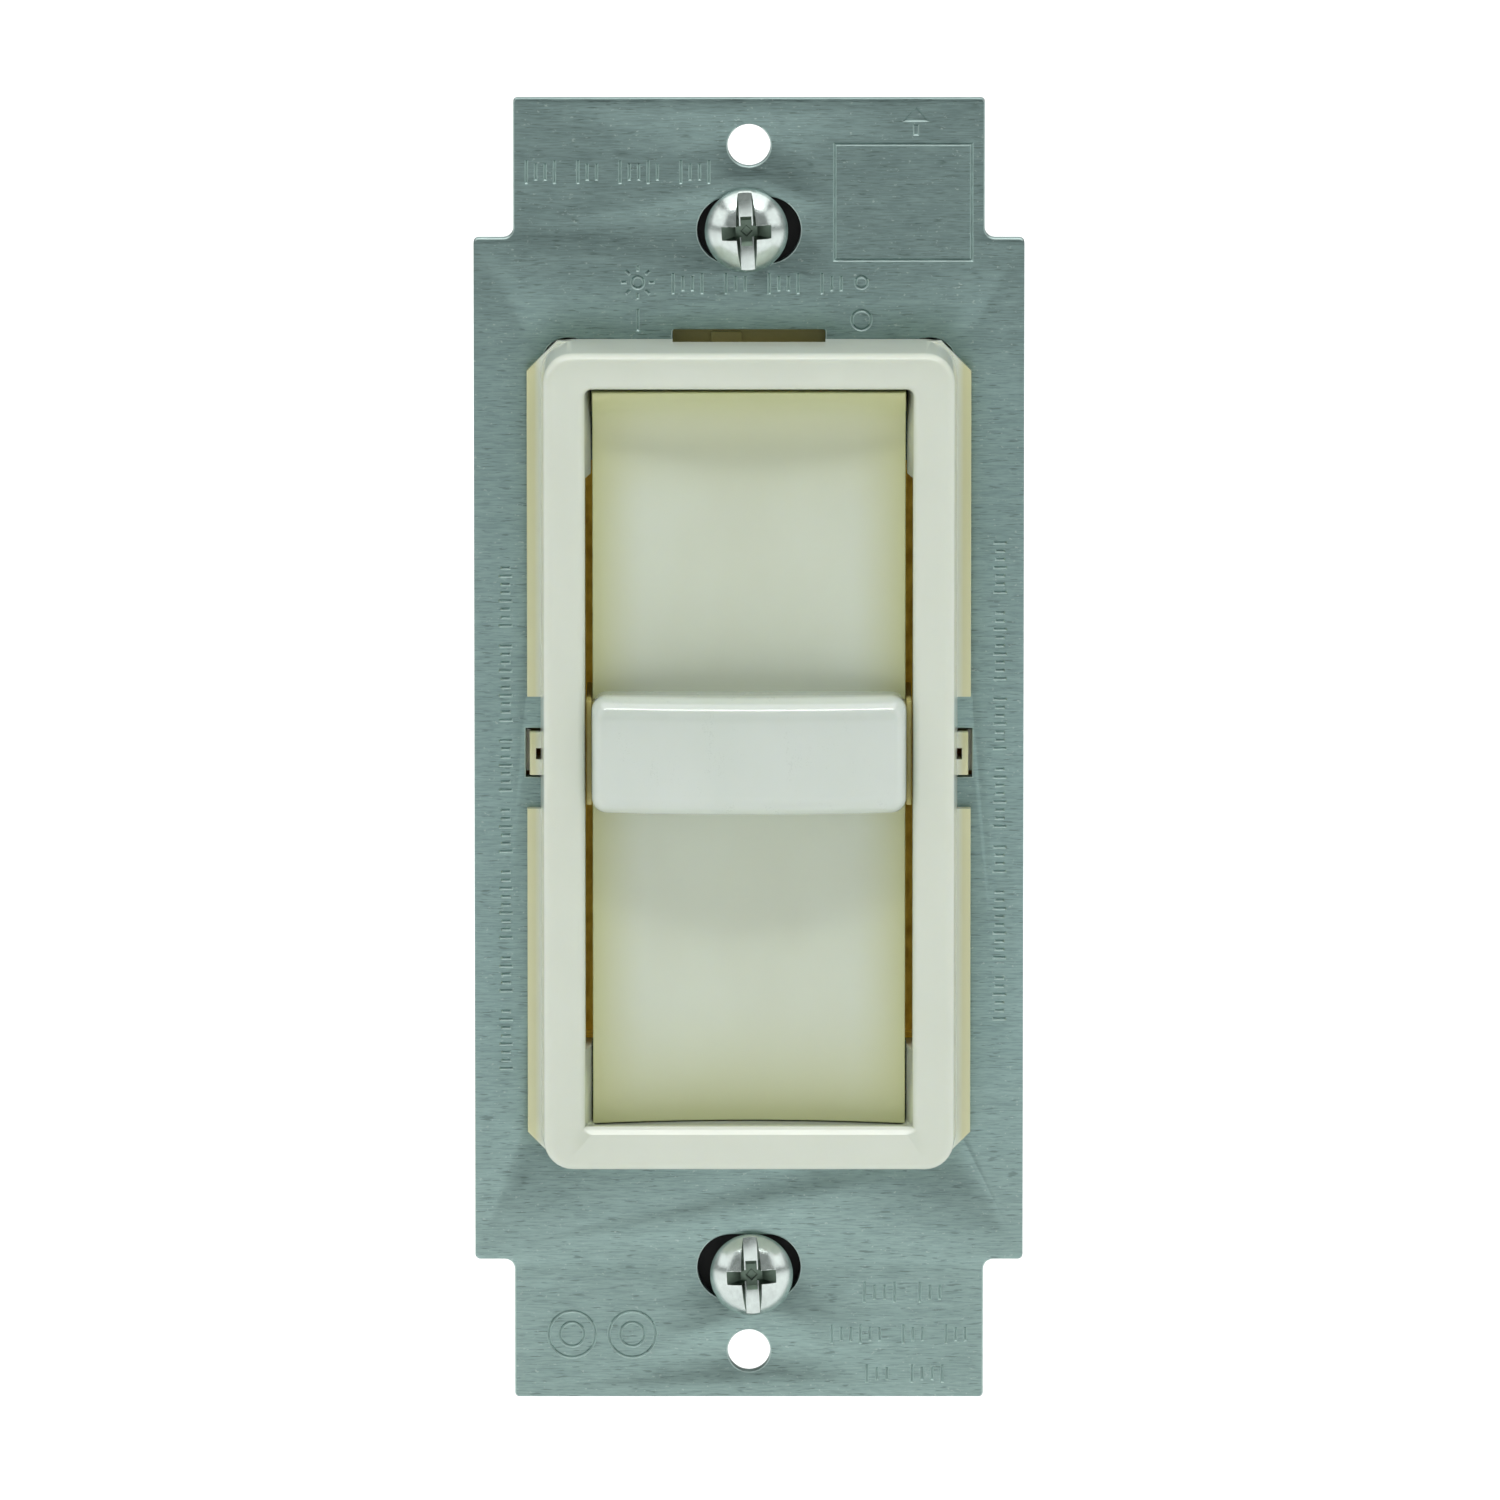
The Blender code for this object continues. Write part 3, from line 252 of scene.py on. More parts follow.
def add_spline(curve, points):
    """A spline of straight segments through (x, y, z) points in millimetres."""
    spline = curve.splines.new("POLY")
    spline.points.add(len(points) - 1)
    for point, (x, y, z) in zip(spline.points, points):
        point.co = (x * MM, y * MM, z * MM, 1.0)
    return spline


def plate(name, outlines, y, edge=0.0, segments=2):
    """A flat piece whose first outline is its edge and the others are holes. edge rounds every rim."""
    curve = bpy.data.curves.new(name, "CURVE")
    curve.dimensions = "2D"
    curve.fill_mode = "BOTH"
    curve.extrude = ((y[1] - y[0]) / 2 - edge) * MM
    curve.bevel_depth = edge * MM
    curve.bevel_resolution = segments - 1
    curve.offset = -edge * MM
    for outline in outlines:
        add_spline(curve, [(x, z, 0.0) for x, z in outline]).use_cyclic_u = True
    shape = new_object(name, curve)
    shape.location = (0.0, (y[0] + y[1]) / 2 * MM, 0.0)
    shape.rotation_euler = (math.pi / 2, 0.0, 0.0)
    return mesh_of_curve(name, shape)


def tube(name, points, radius, resolution=3):
    """A round wire through points in millimetres."""
    curve = bpy.data.curves.new(name, "CURVE")
    curve.dimensions = "3D"
    curve.bevel_depth = radius * MM
    curve.bevel_resolution = resolution
    curve.use_fill_caps = True
    add_spline(curve, points)
    return mesh_of_curve(name, new_object(name, curve))


def mesh_of_curve(name, shape):
    """The curve's shape as a mesh object with its caps welded. The curve is removed."""
    bpy.context.view_layer.update()
    graph = bpy.context.evaluated_depsgraph_get()
    mesh = bpy.data.meshes.new_from_object(shape.evaluated_get(graph))
    bm = bmesh.new()
    bm.from_mesh(mesh)
    bmesh.ops.remove_doubles(bm, verts=bm.verts, dist=CAP_WELD)
    bmesh.ops.transform(bm, matrix=shape.matrix_world, verts=bm.verts)
    bmesh.ops.recalc_face_normals(bm, faces=bm.faces)
    bm.to_mesh(mesh)
    bm.free()
    curve = shape.data
    bpy.data.objects.remove(shape, do_unlink=True)
    bpy.data.curves.remove(curve)
    return shade(new_object(name, mesh))


def loft(name, loops, closed=False):
    """Quads between loops of (x, y, z) points. The two end loops are joined if closed, or else capped."""
    bm = bmesh.new()
    rings = [[bm.verts.new(point) for point in loop] for loop in loops]
    pairs = list(zip(rings, rings[1:])) + ([(rings[-1], rings[0])] if closed else [])
    for low, high in pairs:
        count = len(low)
        for i in range(count):
            j = (i + 1) % count
            bm.faces.new((low[i], low[j], high[j], high[i]))
    if not closed:
        bm.faces.new(list(reversed(rings[0])))
        bm.faces.new(rings[-1])
    return shade(from_bmesh(name, bm))


def turned(name, profile, x, z, count=48):
    """A body turned about a line along Y. Its profile of (radius, y) runs from front to rear."""
    loops = []
    for radius, y in profile:
        loop = []
        for i in range(count):
            angle = 2 * math.pi * i / count
            loop.append((x + radius * math.cos(angle), y, z + radius * math.sin(angle)))
        loops.append(loop)
    return loft(name, loops)


def finish_piece(obj, material, body, node=None):
    """Gives a piece its material in its first slot and its body, and hides the CAD node that it stands for.
    """
    obj.data.materials.clear()
    obj.data.materials.append(material)
    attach(obj, body)
    if node:
        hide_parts(node)


# ---------------------------------------- materials


def srgb(red, green, blue):
    """A linear colour from 8-bit sRGB values."""
    values = []
    for value in (red, green, blue):
        value /= 255
        values.append(value / 12.92 if value <= 0.04045 else ((value + 0.055) / 1.055) ** 2.4)
    return (*values, 1.0)


class Look:
    """A node material round one Principled shader, with short calls for the usual procedural parts."""

    def __init__(self, name, colour, roughness, metallic=0.0, **sockets):
        self.material = bpy.data.materials.new(name)
        self.material.use_nodes = True
        self.tree = self.material.node_tree
        self.shader = self.tree.nodes["Principled BSDF"]
        self.set("Base Color", colour)
        self.set("Roughness", roughness)
        self.set("Metallic", metallic)
        for socket, value in sockets.items():
            self.set(socket.replace("_", " "), value)
        self.coordinates = self.tree.nodes.new("ShaderNodeTexCoord").outputs["Object"]
        self.normal = None

    def set(self, socket, value):
        self.shader.inputs[socket].default_value = value

    def link(self, output, target):
        self.tree.links.new(output, target)

    def stretched(self, scale):
        mapping = self.tree.nodes.new("ShaderNodeMapping")
        mapping.inputs["Scale"].default_value = scale
        self.link(self.coordinates, mapping.inputs["Vector"])
        return mapping.outputs["Vector"]

    def noise(self, size, detail=4.0, roughness=0.55, stretch=(1.0, 1.0, 1.0)):
        """Noise whose features are about size millimetres, longer along an axis where stretch is large."""
        node = self.tree.nodes.new("ShaderNodeTexNoise")
        node.inputs["Scale"].default_value = 1.0
        node.inputs["Detail"].default_value = detail
        node.inputs["Roughness"].default_value = roughness
        scale = [1.0 / (size * MM * factor) for factor in stretch]
        self.link(self.stretched(scale), node.inputs["Vector"])
        return node.outputs["Fac"]

    def ramp(self, value, stops):
        node = self.tree.nodes.new("ShaderNodeValToRGB")
        elements = node.color_ramp.elements
        while len(elements) < len(stops):
            elements.new(0.5)
        for element, (place, colour) in zip(elements, stops):
            element.position = place
            element.color = colour
        self.link(value, node.inputs["Fac"])
        return node.outputs["Color"]

    def grey(self, value, low, high, start=0.3, end=0.7):
        """A number that runs from low to high as the value runs from start to end."""
        node = self.tree.nodes.new("ShaderNodeMapRange")
        for socket, number in (("From Min", start), ("From Max", end), ("To Min", low), ("To Max", high)):
            node.inputs[socket].default_value = number
        self.link(value, node.inputs["Value"])
        return node.outputs["Result"]

    def axis(self, index):
        """One object coordinate, in metres."""
        node = self.tree.nodes.new("ShaderNodeSeparateXYZ")
        self.link(self.coordinates, node.inputs["Vector"])
        return node.outputs[index]

    def mix(self, factor, first, second, blend="MIX"):
        node = self.tree.nodes.new("ShaderNodeMix")
        node.data_type = "RGBA"
        node.blend_type = blend
        for socket, value in ((0, factor), (6, first), (7, second)):
            if isinstance(value, (int, float, tuple)):
                node.inputs[socket].default_value = value
            else:
                self.link(value, node.inputs[socket])
        return node.outputs[2]

    def math(self, operation, first, second=0.0):
        node = self.tree.nodes.new("ShaderNodeMath")
        node.operation = operation
        for socket, value in ((0, first), (1, second)):
            if isinstance(value, (int, float)):
                node.inputs[socket].default_value = value
            else:
                self.link(value, node.inputs[socket])
        return node.outputs["Value"]

    def colour(self, output):
        self.link(output, self.shader.inputs["Base Color"])

    def rough(self, output):
        self.link(output, self.shader.inputs["Roughness"])

    def bump(self, height, depth, strength=1.0):
        """Adds relief of a depth in millimetres on top of any relief before it."""
        node = self.tree.nodes.new("ShaderNodeBump")
        node.inputs["Strength"].default_value = strength
        node.inputs["Distance"].default_value = depth * MM
        self.link(height, node.inputs["Height"])
        if self.normal:
            self.link(self.normal, node.inputs["Normal"])
        self.normal = node.outputs["Normal"]
        self.link(self.normal, self.shader.inputs["Normal"])


def brushed_aluminium():
    """Mill-finish sheet with fine grain along X, soft clouds, dashes and specks, and painted shade that
    darkens it towards its top.
    """
    look = Look("brushed_aluminium", srgb(140, 158, 154), 0.42, 1.0, Anisotropic=0.3)
    grain = look.noise(0.11, 3.0, 0.6, (14.0, 1.0, 1.0))
    streaks = look.noise(0.5, 2.0, 0.5, (30.0, 1.0, 1.0))
    clouds = look.noise(11.0, 3.0, 0.5, (1.4, 1.0, 1.0))
    mottle = look.noise(0.9, 4.0, 0.6, (2.2, 1.0, 1.0))
    specks = look.noise(0.2, 2.0, 0.5, (1.8, 1.0, 1.0))
    dashes = look.noise(0.16, 2.0, 0.55, (9.0, 1.0, 1.0))
    white = srgb(255, 255, 255)
    # Painted shade: the colour darkens towards the top of the sheet by height alone.
    height = look.grey(look.axis(2), 0.0, 1.0, -52 * MM, 52 * MM)
    painted_top_shade = [(0.0, srgb(166, 191, 186)), (0.15, srgb(165, 190, 186)), (0.28, srgb(163, 190, 187))]
    painted_top_shade += [(0.78, srgb(160, 186, 183)), (0.88, srgb(147, 170, 167)), (1.0, srgb(148, 171, 168))]
    soft = look.ramp(clouds, [(0.3, srgb(246, 246, 246)), (0.7, white)])
    tint = look.mix(1.0, look.ramp(height, painted_top_shade), soft, "MULTIPLY")
    lines = look.ramp(grain, [(0.3, srgb(214, 214, 214)), (0.55, srgb(244, 244, 244)), (0.75, white)])
    tint = look.mix(1.0, tint, lines, "MULTIPLY")
    wide = look.ramp(streaks, [(0.3, srgb(240, 241, 241)), (0.7, white)])
    tint = look.mix(0.8, tint, wide, "MULTIPLY")
    patches = look.ramp(mottle, [(0.35, srgb(240, 242, 242)), (0.65, white)])
    tint = look.mix(0.8, tint, patches, "MULTIPLY")
    tint = look.mix(look.grey(dashes, 0.5, 0.0, 0.32, 0.4), tint, srgb(84, 100, 96))
    tint = look.mix(look.grey(specks, 0.0, 0.4, 0.66, 0.76), tint, srgb(200, 216, 212))
    look.colour(tint)
    look.rough(look.math("ADD", look.grey(grain, 0.37, 0.47), look.grey(mottle, -0.03, 0.04)))
    look.bump(grain, 0.003, 0.5)
    look.bump(mottle, 0.006, 0.25)
    return look.material


def moulded(name, light, dark, roughness, texture=0.004, painted_shade=None, reach=(), coat=(0.15, 0.15, 1.5)):
    """Ivory moulded plastic: a soft glow below the surface, faint clouds and a very fine texture.

    The shaded argument is painted shade: a yellower tone that stands for shade and light bounced off nearby
    ivory, and reach says where it sets in: (axis, start, end) in millimetres.
    coat is the weight, roughness and refractive index of its gloss.
    """
    look = Look(name, light, roughness, IOR=1.5)
    look.set("Subsurface Weight", 0.15)
    look.set("Subsurface Radius", (1.0, 0.75, 0.4))
    look.set("Subsurface Scale", 0.0012)
    for socket, value in zip(("Coat Weight", "Coat Roughness", "Coat IOR"), coat):
        look.set(socket, value)
    clouds = look.noise(9.0, 3.0, 0.5, (1.0, 1.0, 1.6))
    fine = look.noise(0.12, 3.0, 0.6)
    wear = look.noise(1.4, 5.0, 0.65, (1.0, 1.0, 3.0))
    tone = look.ramp(clouds, [(0.3, dark), (0.7, light)])
    # Painted shade: the yellower tone is mixed in where reach says.
    for axis, start, end in reach:
        place = look.axis(axis)
        if start > 0:
            place = look.math("ABSOLUTE", place)
        amount = look.grey(place, 0.0, 1.0, start * MM, end * MM)
        tone = look.mix(look.math("POWER", amount, 1.5), tone, painted_shade)
    look.colour(tone)
    base = look.grey(fine, roughness - 0.03, roughness + 0.04)
    look.rough(look.math("ADD", base, look.grey(wear, -0.03, 0.05)))
    look.bump(fine, texture, 0.5)
    look.bump(clouds, 0.02, 0.25)
    return look.material


def amber_guard():
    """The strips behind the leg slots. Their faint glow stands for light that comes through the moulding."""
    look = Look("amber_guard", srgb(214, 150, 60), 0.5)
    mottle = look.noise(0.8, 4.0, 0.6, (1.0, 1.0, 2.5))
    tone = look.ramp(mottle, [(0.35, srgb(176, 136, 36)), (0.65, srgb(222, 184, 66))])
    look.colour(tone)
    look.link(tone, look.shader.inputs["Emission Color"])
    look.set("Emission Strength", 0.14)
    look.bump(mottle, 0.01, 0.3)
    return look.material


def plated_steel(name="plated_steel", colour=(212, 222, 218), roughness=0.2):
    """Bright metal with slightly duller, darker worn patches."""
    look = Look(name, srgb(*colour), roughness, 1.0)
    wear = look.noise(0.5, 5.0, 0.65)
    fine = look.noise(0.06, 2.0, 0.5)
    darker = srgb(*(value * 0.93 for value in colour))
    look.colour(look.ramp(wear, [(0.35, darker), (0.65, srgb(*colour))]))
    look.rough(look.grey(wear, roughness - 0.02, roughness + 0.05))
    look.bump(fine, 0.003, 0.4)
    return look.material


def black_moulding(name, colour=(24, 24, 25), roughness=0.5, size=0.14, depth=0.02):
    """Black thermoset with a fine spark-eroded texture."""
    look = Look(name, srgb(*colour), roughness)
    grain = look.noise(size, 4.0, 0.6)
    clouds = look.noise(8.0, 3.0, 0.5)
    lighter = srgb(*(value + 12 for value in colour))
    look.colour(look.ramp(clouds, [(0.3, srgb(*colour)), (0.7, lighter)]))
    look.rough(look.grey(grain, roughness - 0.06, roughness + 0.08))
    look.bump(grain, depth, 0.6)
    return look.material


def laminate():
    """Paper-phenolic board: brown, with faint fibres."""
    look = Look("board_laminate", srgb(176, 128, 70), 0.5)
    fibres = look.noise(0.5, 4.0, 0.6, (6.0, 1.0, 1.0))
    look.colour(look.ramp(fibres, [(0.3, srgb(158, 110, 56)), (0.7, srgb(190, 142, 84))]))
    look.bump(fibres, 0.01, 0.4)
    return look.material


def plain(name, colour, roughness, metallic=0.0, size=0.6, spread=0.85, depth=0.006, **sockets):
    """A finish with slight tonal clouds and a fine surface."""
    look = Look(name, srgb(*colour), roughness, metallic, **sockets)
    clouds = look.noise(size, 4.0, 0.6)
    low = srgb(*(value * spread for value in colour))
    look.colour(look.ramp(clouds, [(0.3, low), (0.7, srgb(*colour))]))
    look.rough(look.grey(clouds, roughness + 0.06, roughness - 0.03))
    look.bump(clouds, depth, 0.5)
    return look.material


def resistor_lacquer():
    """Beige lacquer with faint clouds. The bands are materials of their own."""
    look = Look("resistor_lacquer", srgb(205, 178, 132), 0.35)
    clouds = look.noise(0.6, 3.0, 0.5)
    look.colour(look.ramp(clouds, [(0.3, srgb(192, 164, 118)), (0.7, srgb(214, 188, 144))]))
    look.bump(clouds, 0.01, 0.4)
    return look.material


ALUMINIUM = brushed_aluminium()
FRESH_METAL = plated_steel("fresh_aluminium", (186, 206, 202), 0.5)
# The bezel's side flanges get painted shade: a yellower tone beyond 16.4 mm from the middle.
IVORY = moulded(
    "ivory_plastic", srgb(212, 219, 205), srgb(207, 214, 199), 0.33,
    painted_shade=srgb(202, 203, 160), reach=((0, 16.4, 17.0),), coat=(0.8, 0.1, 1.6),
)
# The pad gets painted shade: a yellower tone towards its side borders and its upper end.
PAD_IVORY = moulded(
    "pad_plastic", srgb(213, 221, 204), srgb(208, 215, 196), 0.36,
    painted_shade=srgb(196, 199, 146), reach=((0, 8.0, 12.6), (2, 19.0, 30.5)),
)
SLIDER_IVORY = moulded(
    "slider_plastic", srgb(205, 214, 206), srgb(200, 210, 200), 0.3, 0.002, coat=(1.0, 0.05, 1.7)
)
# Painted shade: a darker, yellower copy of the ivory for the ivory pieces that lie deep inside.
SHADE_PAINTED_IVORY = moulded("shade_painted_ivory", srgb(200, 188, 122), srgb(190, 176, 106), 0.4)
GUARD = amber_guard()
PLATED = plated_steel()
# Painted shade: a darker, duller copy of the plated steel for the faces inside the screw heads' slots and
# cross recesses.
RECESS_SHADE = plated_steel("painted_recess_shade", (104, 120, 108), 0.36)
TINNED = plated_steel("tinned_metal", (190, 192, 188), 0.34)
SHEET_STEEL = plated_steel("sheet_steel", (176, 180, 180), 0.3)
BRONZE = plain("spring_bronze", (196, 148, 84), 0.28, 1.0, 0.8)
BLACK = black_moulding("black_plastic")
HOUSING_BLACK = black_moulding("housing_plastic", (30, 30, 31), 0.48, 0.18, 0.03)
FIBRE = black_moulding("fibre", (14, 14, 15), 0.7, 0.08, 0.02)
LAMINATE = laminate()
FERRITE = plain("core_coating", (226, 208, 92), 0.42, size=1.2, depth=0.03)
ENAMEL = plain("enamelled_wire", (178, 84, 38), 0.25, 1.0, 1.0)
FILM_RED = plain("capacitor_red", (150, 42, 30), 0.3, size=2.0, depth=0.03)
BEIGE = plain("insulator_sheet", (206, 184, 148), 0.6, size=0.5, depth=0.01)
LACQUER = resistor_lacquer()
DIAC_BLUE = plain("diac_blue", (40, 72, 138), 0.2, size=0.7)
COPPER = plain("tinned_copper", (186, 150, 112), 0.35, 1.0, 0.8)
LABEL = plain("label_foil", (206, 208, 206), 0.4, 0.2, 3.0, 0.95)
LAMP_GLASS = plain("lamp_glass", (250, 226, 196), 0.06, size=3.0, depth=0.0, Transmission_Weight=0.9)
BAND_COLOURS = ((120, 62, 28), (24, 24, 24), (222, 120, 30), (196, 160, 70))
BANDS = [plain(f"band_{i}", colour, 0.35) for i, colour in enumerate(BAND_COLOURS)]


# ---------------------------------------- strap

STRAP_LOW, STRAP_HIGH = span("heat_sink_strap")
STRAP_FRONT = STRAP_LOW.y
HALF_WIDTH, HALF_HEIGHT = STRAP_HIGH.x, STRAP_HIGH.z
HALF_EAR, EAR_START = 18.65, 41.0
PLATE_SCREW_Z, BOX_SLOT_Z = 48.42, 41.67
OPENING, PAD_OPENING = (13.7, 23.3), (9.5, -30.0)
SELECTOR_SLOT_HALF, SELECTOR_SLOT_Z = 6.05, (31.0, 33.75)
BOX_SLOT = (8.2, 5.3)
LAMP_HOLE, RIVET_HOLE, POST_HOLE, PLATE_HOLE = 2.9, 1.6, 2.1, 1.7
HOOK_Z, HOOK_SLOT_HALF = -0.15, 1.95
MARK_DEPTH, MARK_SLOPE, MARK_LINE = 0.13, 0.12, 0.27
HOUSING_SCREWS = [middle(f"housing_screw_{number}") for number in (1, 2, 3)]


def bar(x, z, length, width=MARK_LINE, angle=0.0):
    """A short stamped line, its angle in degrees from +X."""
    turn = Matrix.Rotation(math.radians(angle), 2)
    corners = rectangle((-length / 2, length / 2), (-width / 2, width / 2))
    return [tuple(Vector((x, z)) + turn @ Vector(corner)) for corner in corners]


def ring(x, z, radius, width=MARK_LINE):
    return [circle(radius, x, z, 36), circle(radius - width, x, z, 36)]


def frame_mark(x, z, width, height, line=MARK_LINE):
    outer = rectangle((x - width / 2, x + width / 2), (z - height / 2, z + height / 2))
    half_x, half_z = width / 2 - line, height / 2 - line
    return [outer, rectangle((x - half_x, x + half_x), (z - half_z, z + half_z))]


def tick_line(start, direction, groups, pitch=0.62, length=1.1):
    """Groups of short parallel ticks, as on a plain gauge. direction is 0 along X and 90 along Z."""
    marks, place = [], 0.0
    step = Vector((math.cos(math.radians(direction)), math.sin(math.radians(direction))))
    for count in groups:
        for i in range(count):
            x, z = Vector(start) + step * place
            tall = length if i % 3 == 0 else length * 0.72
            marks.append(bar(x, z, tall, MARK_LINE, direction + 90))
            place += pitch
        place += 1.5 * pitch
    return marks


def lamp_sign(x, z, radius, lit):
    """A ring for a lamp, with rays round it when it is lit."""
    marks = ring(x, z, radius)
    for i in range(8 if lit else 0):
        angle = 45 * i
        spoke = Vector((math.cos(math.radians(angle)), math.sin(math.radians(angle)))) * (radius + 0.5)
        marks.append(bar(x + spoke.x, z + spoke.y, 0.5, MARK_LINE, angle))
    return marks


def stamped_marks():
    """Generic marks: an up arrow, on and off signs, lamp signs, plain rings, a frame and tick gauges."""
    arrow_x, arrow_z = 13.2, 50.3
    marks = [[(arrow_x - 1.1, arrow_z), (arrow_x + 1.1, arrow_z), (arrow_x, arrow_z + 1.2)]]
    marks.append(bar(arrow_x, arrow_z - 0.65, 0.9, 0.5, 90))
    marks += frame_mark(12.2, 43.9, 11.1, 9.5)
    marks.append(bar(-8.8, 34.5, 1.8, MARK_LINE, 90))
    marks += ring(8.9, 34.5, 0.9)
    marks += lamp_sign(-8.8, 37.5, 0.6, True)
    marks += lamp_sign(8.9, 37.5, 0.6, False)
    marks += tick_line((-6.0, 37.4), 0, (4, 3, 4, 3), 0.76, 1.7)
    for x in (-14.1, -9.3):
        marks += ring(x, -47.1, 2.0)
        marks += ring(x, -47.1, 1.1)
    marks += tick_line((-17.6, 46.3), 0, (4, 3, 5, 4), 0.74, 1.9)
    marks += tick_line((9.2, -43.7), 0, (4, 3), 0.8, 1.7)
    marks += tick_line((6.6, -47.1), 0, (6, 3, 3), 0.76, 1.6)
    marks += tick_line((9.4, -50.3), 0, (3, 4), 0.8, 1.5)
    marks += tick_line((-19.3, -25.6), 90, (8, 5, 9, 6, 7, 10, 8), 0.66, 1.1)
    marks += tick_line((19.9, -21.6), 90, (6, 9, 4, 8, 7, 9, 7), 0.66, 1.1)
    return marks


def strap():
    """The sheet with its openings and stamped marks, whose sloped walls show fresh metal."""
    quarter = [(HALF_WIDTH, EAR_START, 0.4), (HALF_EAR, EAR_START, 0.8), (HALF_EAR, HALF_HEIGHT, 0.35)]
    corners = quarter + [(-x, z, r) for x, z, r in reversed(quarter)]
    corners += [(-x, -z, r) for x, z, r in quarter] + [(x, -z, r) for x, z, r in reversed(quarter)]
    (wide, top), (narrow, bottom) = OPENING, PAD_OPENING
    opening = [(wide, top, 0.5), (-wide, top, 0.5), (-wide, -top, 0.5), (-narrow, -top, 0.3)]
    opening += [(-narrow, bottom, 0.5), (narrow, bottom, 0.5), (narrow, -top, 0.3), (wide, -top, 0.5)]
    half, (low, high) = SELECTOR_SLOT_HALF, SELECTOR_SLOT_Z
    selector_slot = [(half, low, 0.2), (half, high, 0.2), (-half, high, 0.2), (-half, low, 0.2)]
    holes = [filleted(opening), filleted(selector_slot)]
    holes.append(circle(LAMP_HOLE, 0.0, middle("locator_lamp")[1], 36))
    holes.append(circle(RIVET_HOLE, *middle("triac_rivet"), 24))
    holes += [circle(POST_HOLE, x, z, 28) for x, z in HOUSING_SCREWS]
    for side in (1, -1):
        holes.append(circle(PLATE_HOLE, 0.0, side * PLATE_SCREW_Z, 40))
        holes.append(rounded(*BOX_SLOT, BOX_SLOT[1] / 2 - 0.001, 0.0, side * BOX_SLOT_Z, 12))
        holes.append(rectangle(sided(side, 15.6, 17.7), (HOOK_Z - HOOK_SLOT_HALF, HOOK_Z + HOOK_SLOT_HALF)))
    piece = plate("strap_sheet", [filleted(corners)] + holes, (STRAP_FRONT, 0.0), 0.1, 2)
    marks = plate("marks", stamped_marks(), (STRAP_FRONT - 0.4, STRAP_FRONT + MARK_DEPTH), MARK_SLOPE, 1)
    cut(piece, marks)
    shade(piece, 30)
    finish_piece(piece, ALUMINIUM, "base", "heat_sink_strap")
    piece.data.materials.append(FRESH_METAL)
    rim = 0.15
    for face in piece.data.polygons:
        centre = face.center / MM
        sloped = 0.3 < abs(face.normal.y) < 0.95
        inside = STRAP_FRONT - 0.01 < centre.y < STRAP_FRONT + MARK_DEPTH
        on_rim = abs(centre.x) > HALF_WIDTH - rim or abs(centre.z) > HALF_HEIGHT - rim
        if sloped and inside and not on_rim and face.normal.z > -0.3:
            face.material_index = 1


# ---------------------------------------- screws

HEAD_HEIGHT, HEAD_EDGE = 2.0, 0.35
SLOT_DEPTH = 1.4


def thread(name, radius, depth, pitch, start, end, x, z, sides=28, rows_per_turn=8):
    """A threaded shank along +Y, whose end tapers over its last turn."""
    tip_length, tip_taper, flank = 0.9, 0.55, 0.42
    loops = []
    rows = int((end - start) / pitch * rows_per_turn)
    for row in range(rows + 1):
        y = start + (end - start) * row / rows
        fade = min(1.0, (y - start) / pitch)
        taper = max(0.0, (y - end + tip_length) / tip_length) * tip_taper
        loop = []
        for side in range(sides):
            turn = side / sides
            phase = ((y - start) / pitch - turn) % 1.0
            crest = max(0.0, 1.0 - abs(phase - 0.5) / flank)
            reach = radius - depth * (1.0 - crest * fade) - taper
            angle = 2 * math.pi * turn
            loop.append((x + reach * math.cos(angle), y, z + reach * math.sin(angle)))
        loops.append(loop)
    return loft(name, loops)


def dome_depth(radius, rise, r):
    """How far a cap of a sphere lies below its crown at a distance r from its middle."""
    sphere = (radius**2 + rise**2) / (2 * rise)
    return sphere - math.sqrt(sphere**2 - r**2)


def head_profile(radius, seat, edge, height, count=16):
    """A domed head as (radius, y) from its crown to its rim: a cap of a sphere on a short wall."""
    crown = seat - height
    profile = [(0.02, crown)]
    for i in range(1, count + 1):
        r = radius * i / count
        profile.append((r, crown + dome_depth(radius, height - edge, r)))
    return profile


def turned_about(obj, x, z, angle):
    """Turns a tool about a line along Y, in degrees clockwise seen from the front."""
    centre = Matrix.Translation((x * MM, 0.0, z * MM))
    obj.data.transform(centre @ Matrix.Rotation(math.radians(angle), 4, "Y") @ centre.inverted())
    return obj


def slot_tool(x, z, crown, half_top, half_floor, depth):
    """The driver slot right across a head, a little narrower at its floor."""
    slope = (half_top - half_floor) / depth
    loops = []
    for y, half in ((crown - 1.0, half_top + slope), (crown + depth, half_floor)):
        loops.append([(x + sx * half, y, z + sz * 5.0) for sx, sz in CORNERS])
    return loft("slot", loops)


def wing_tool(x, z, crown, length, width, depth):
    """One wing of a cross recess, narrower and shorter towards its floor."""
    loops = []
    for y, long, wide in ((crown - 0.8, 1.0, 1.0), (crown + 0.3, 1.0, 1.0), (crown + depth, 0.4, 0.75)):
        half_x, half_z = length / 2 * long, width / 2 * wide
        loops.append([(x + sx * half_x, y, z + sz * half_z) for sx, sz in CORNERS])
    return loft("wing", loops)


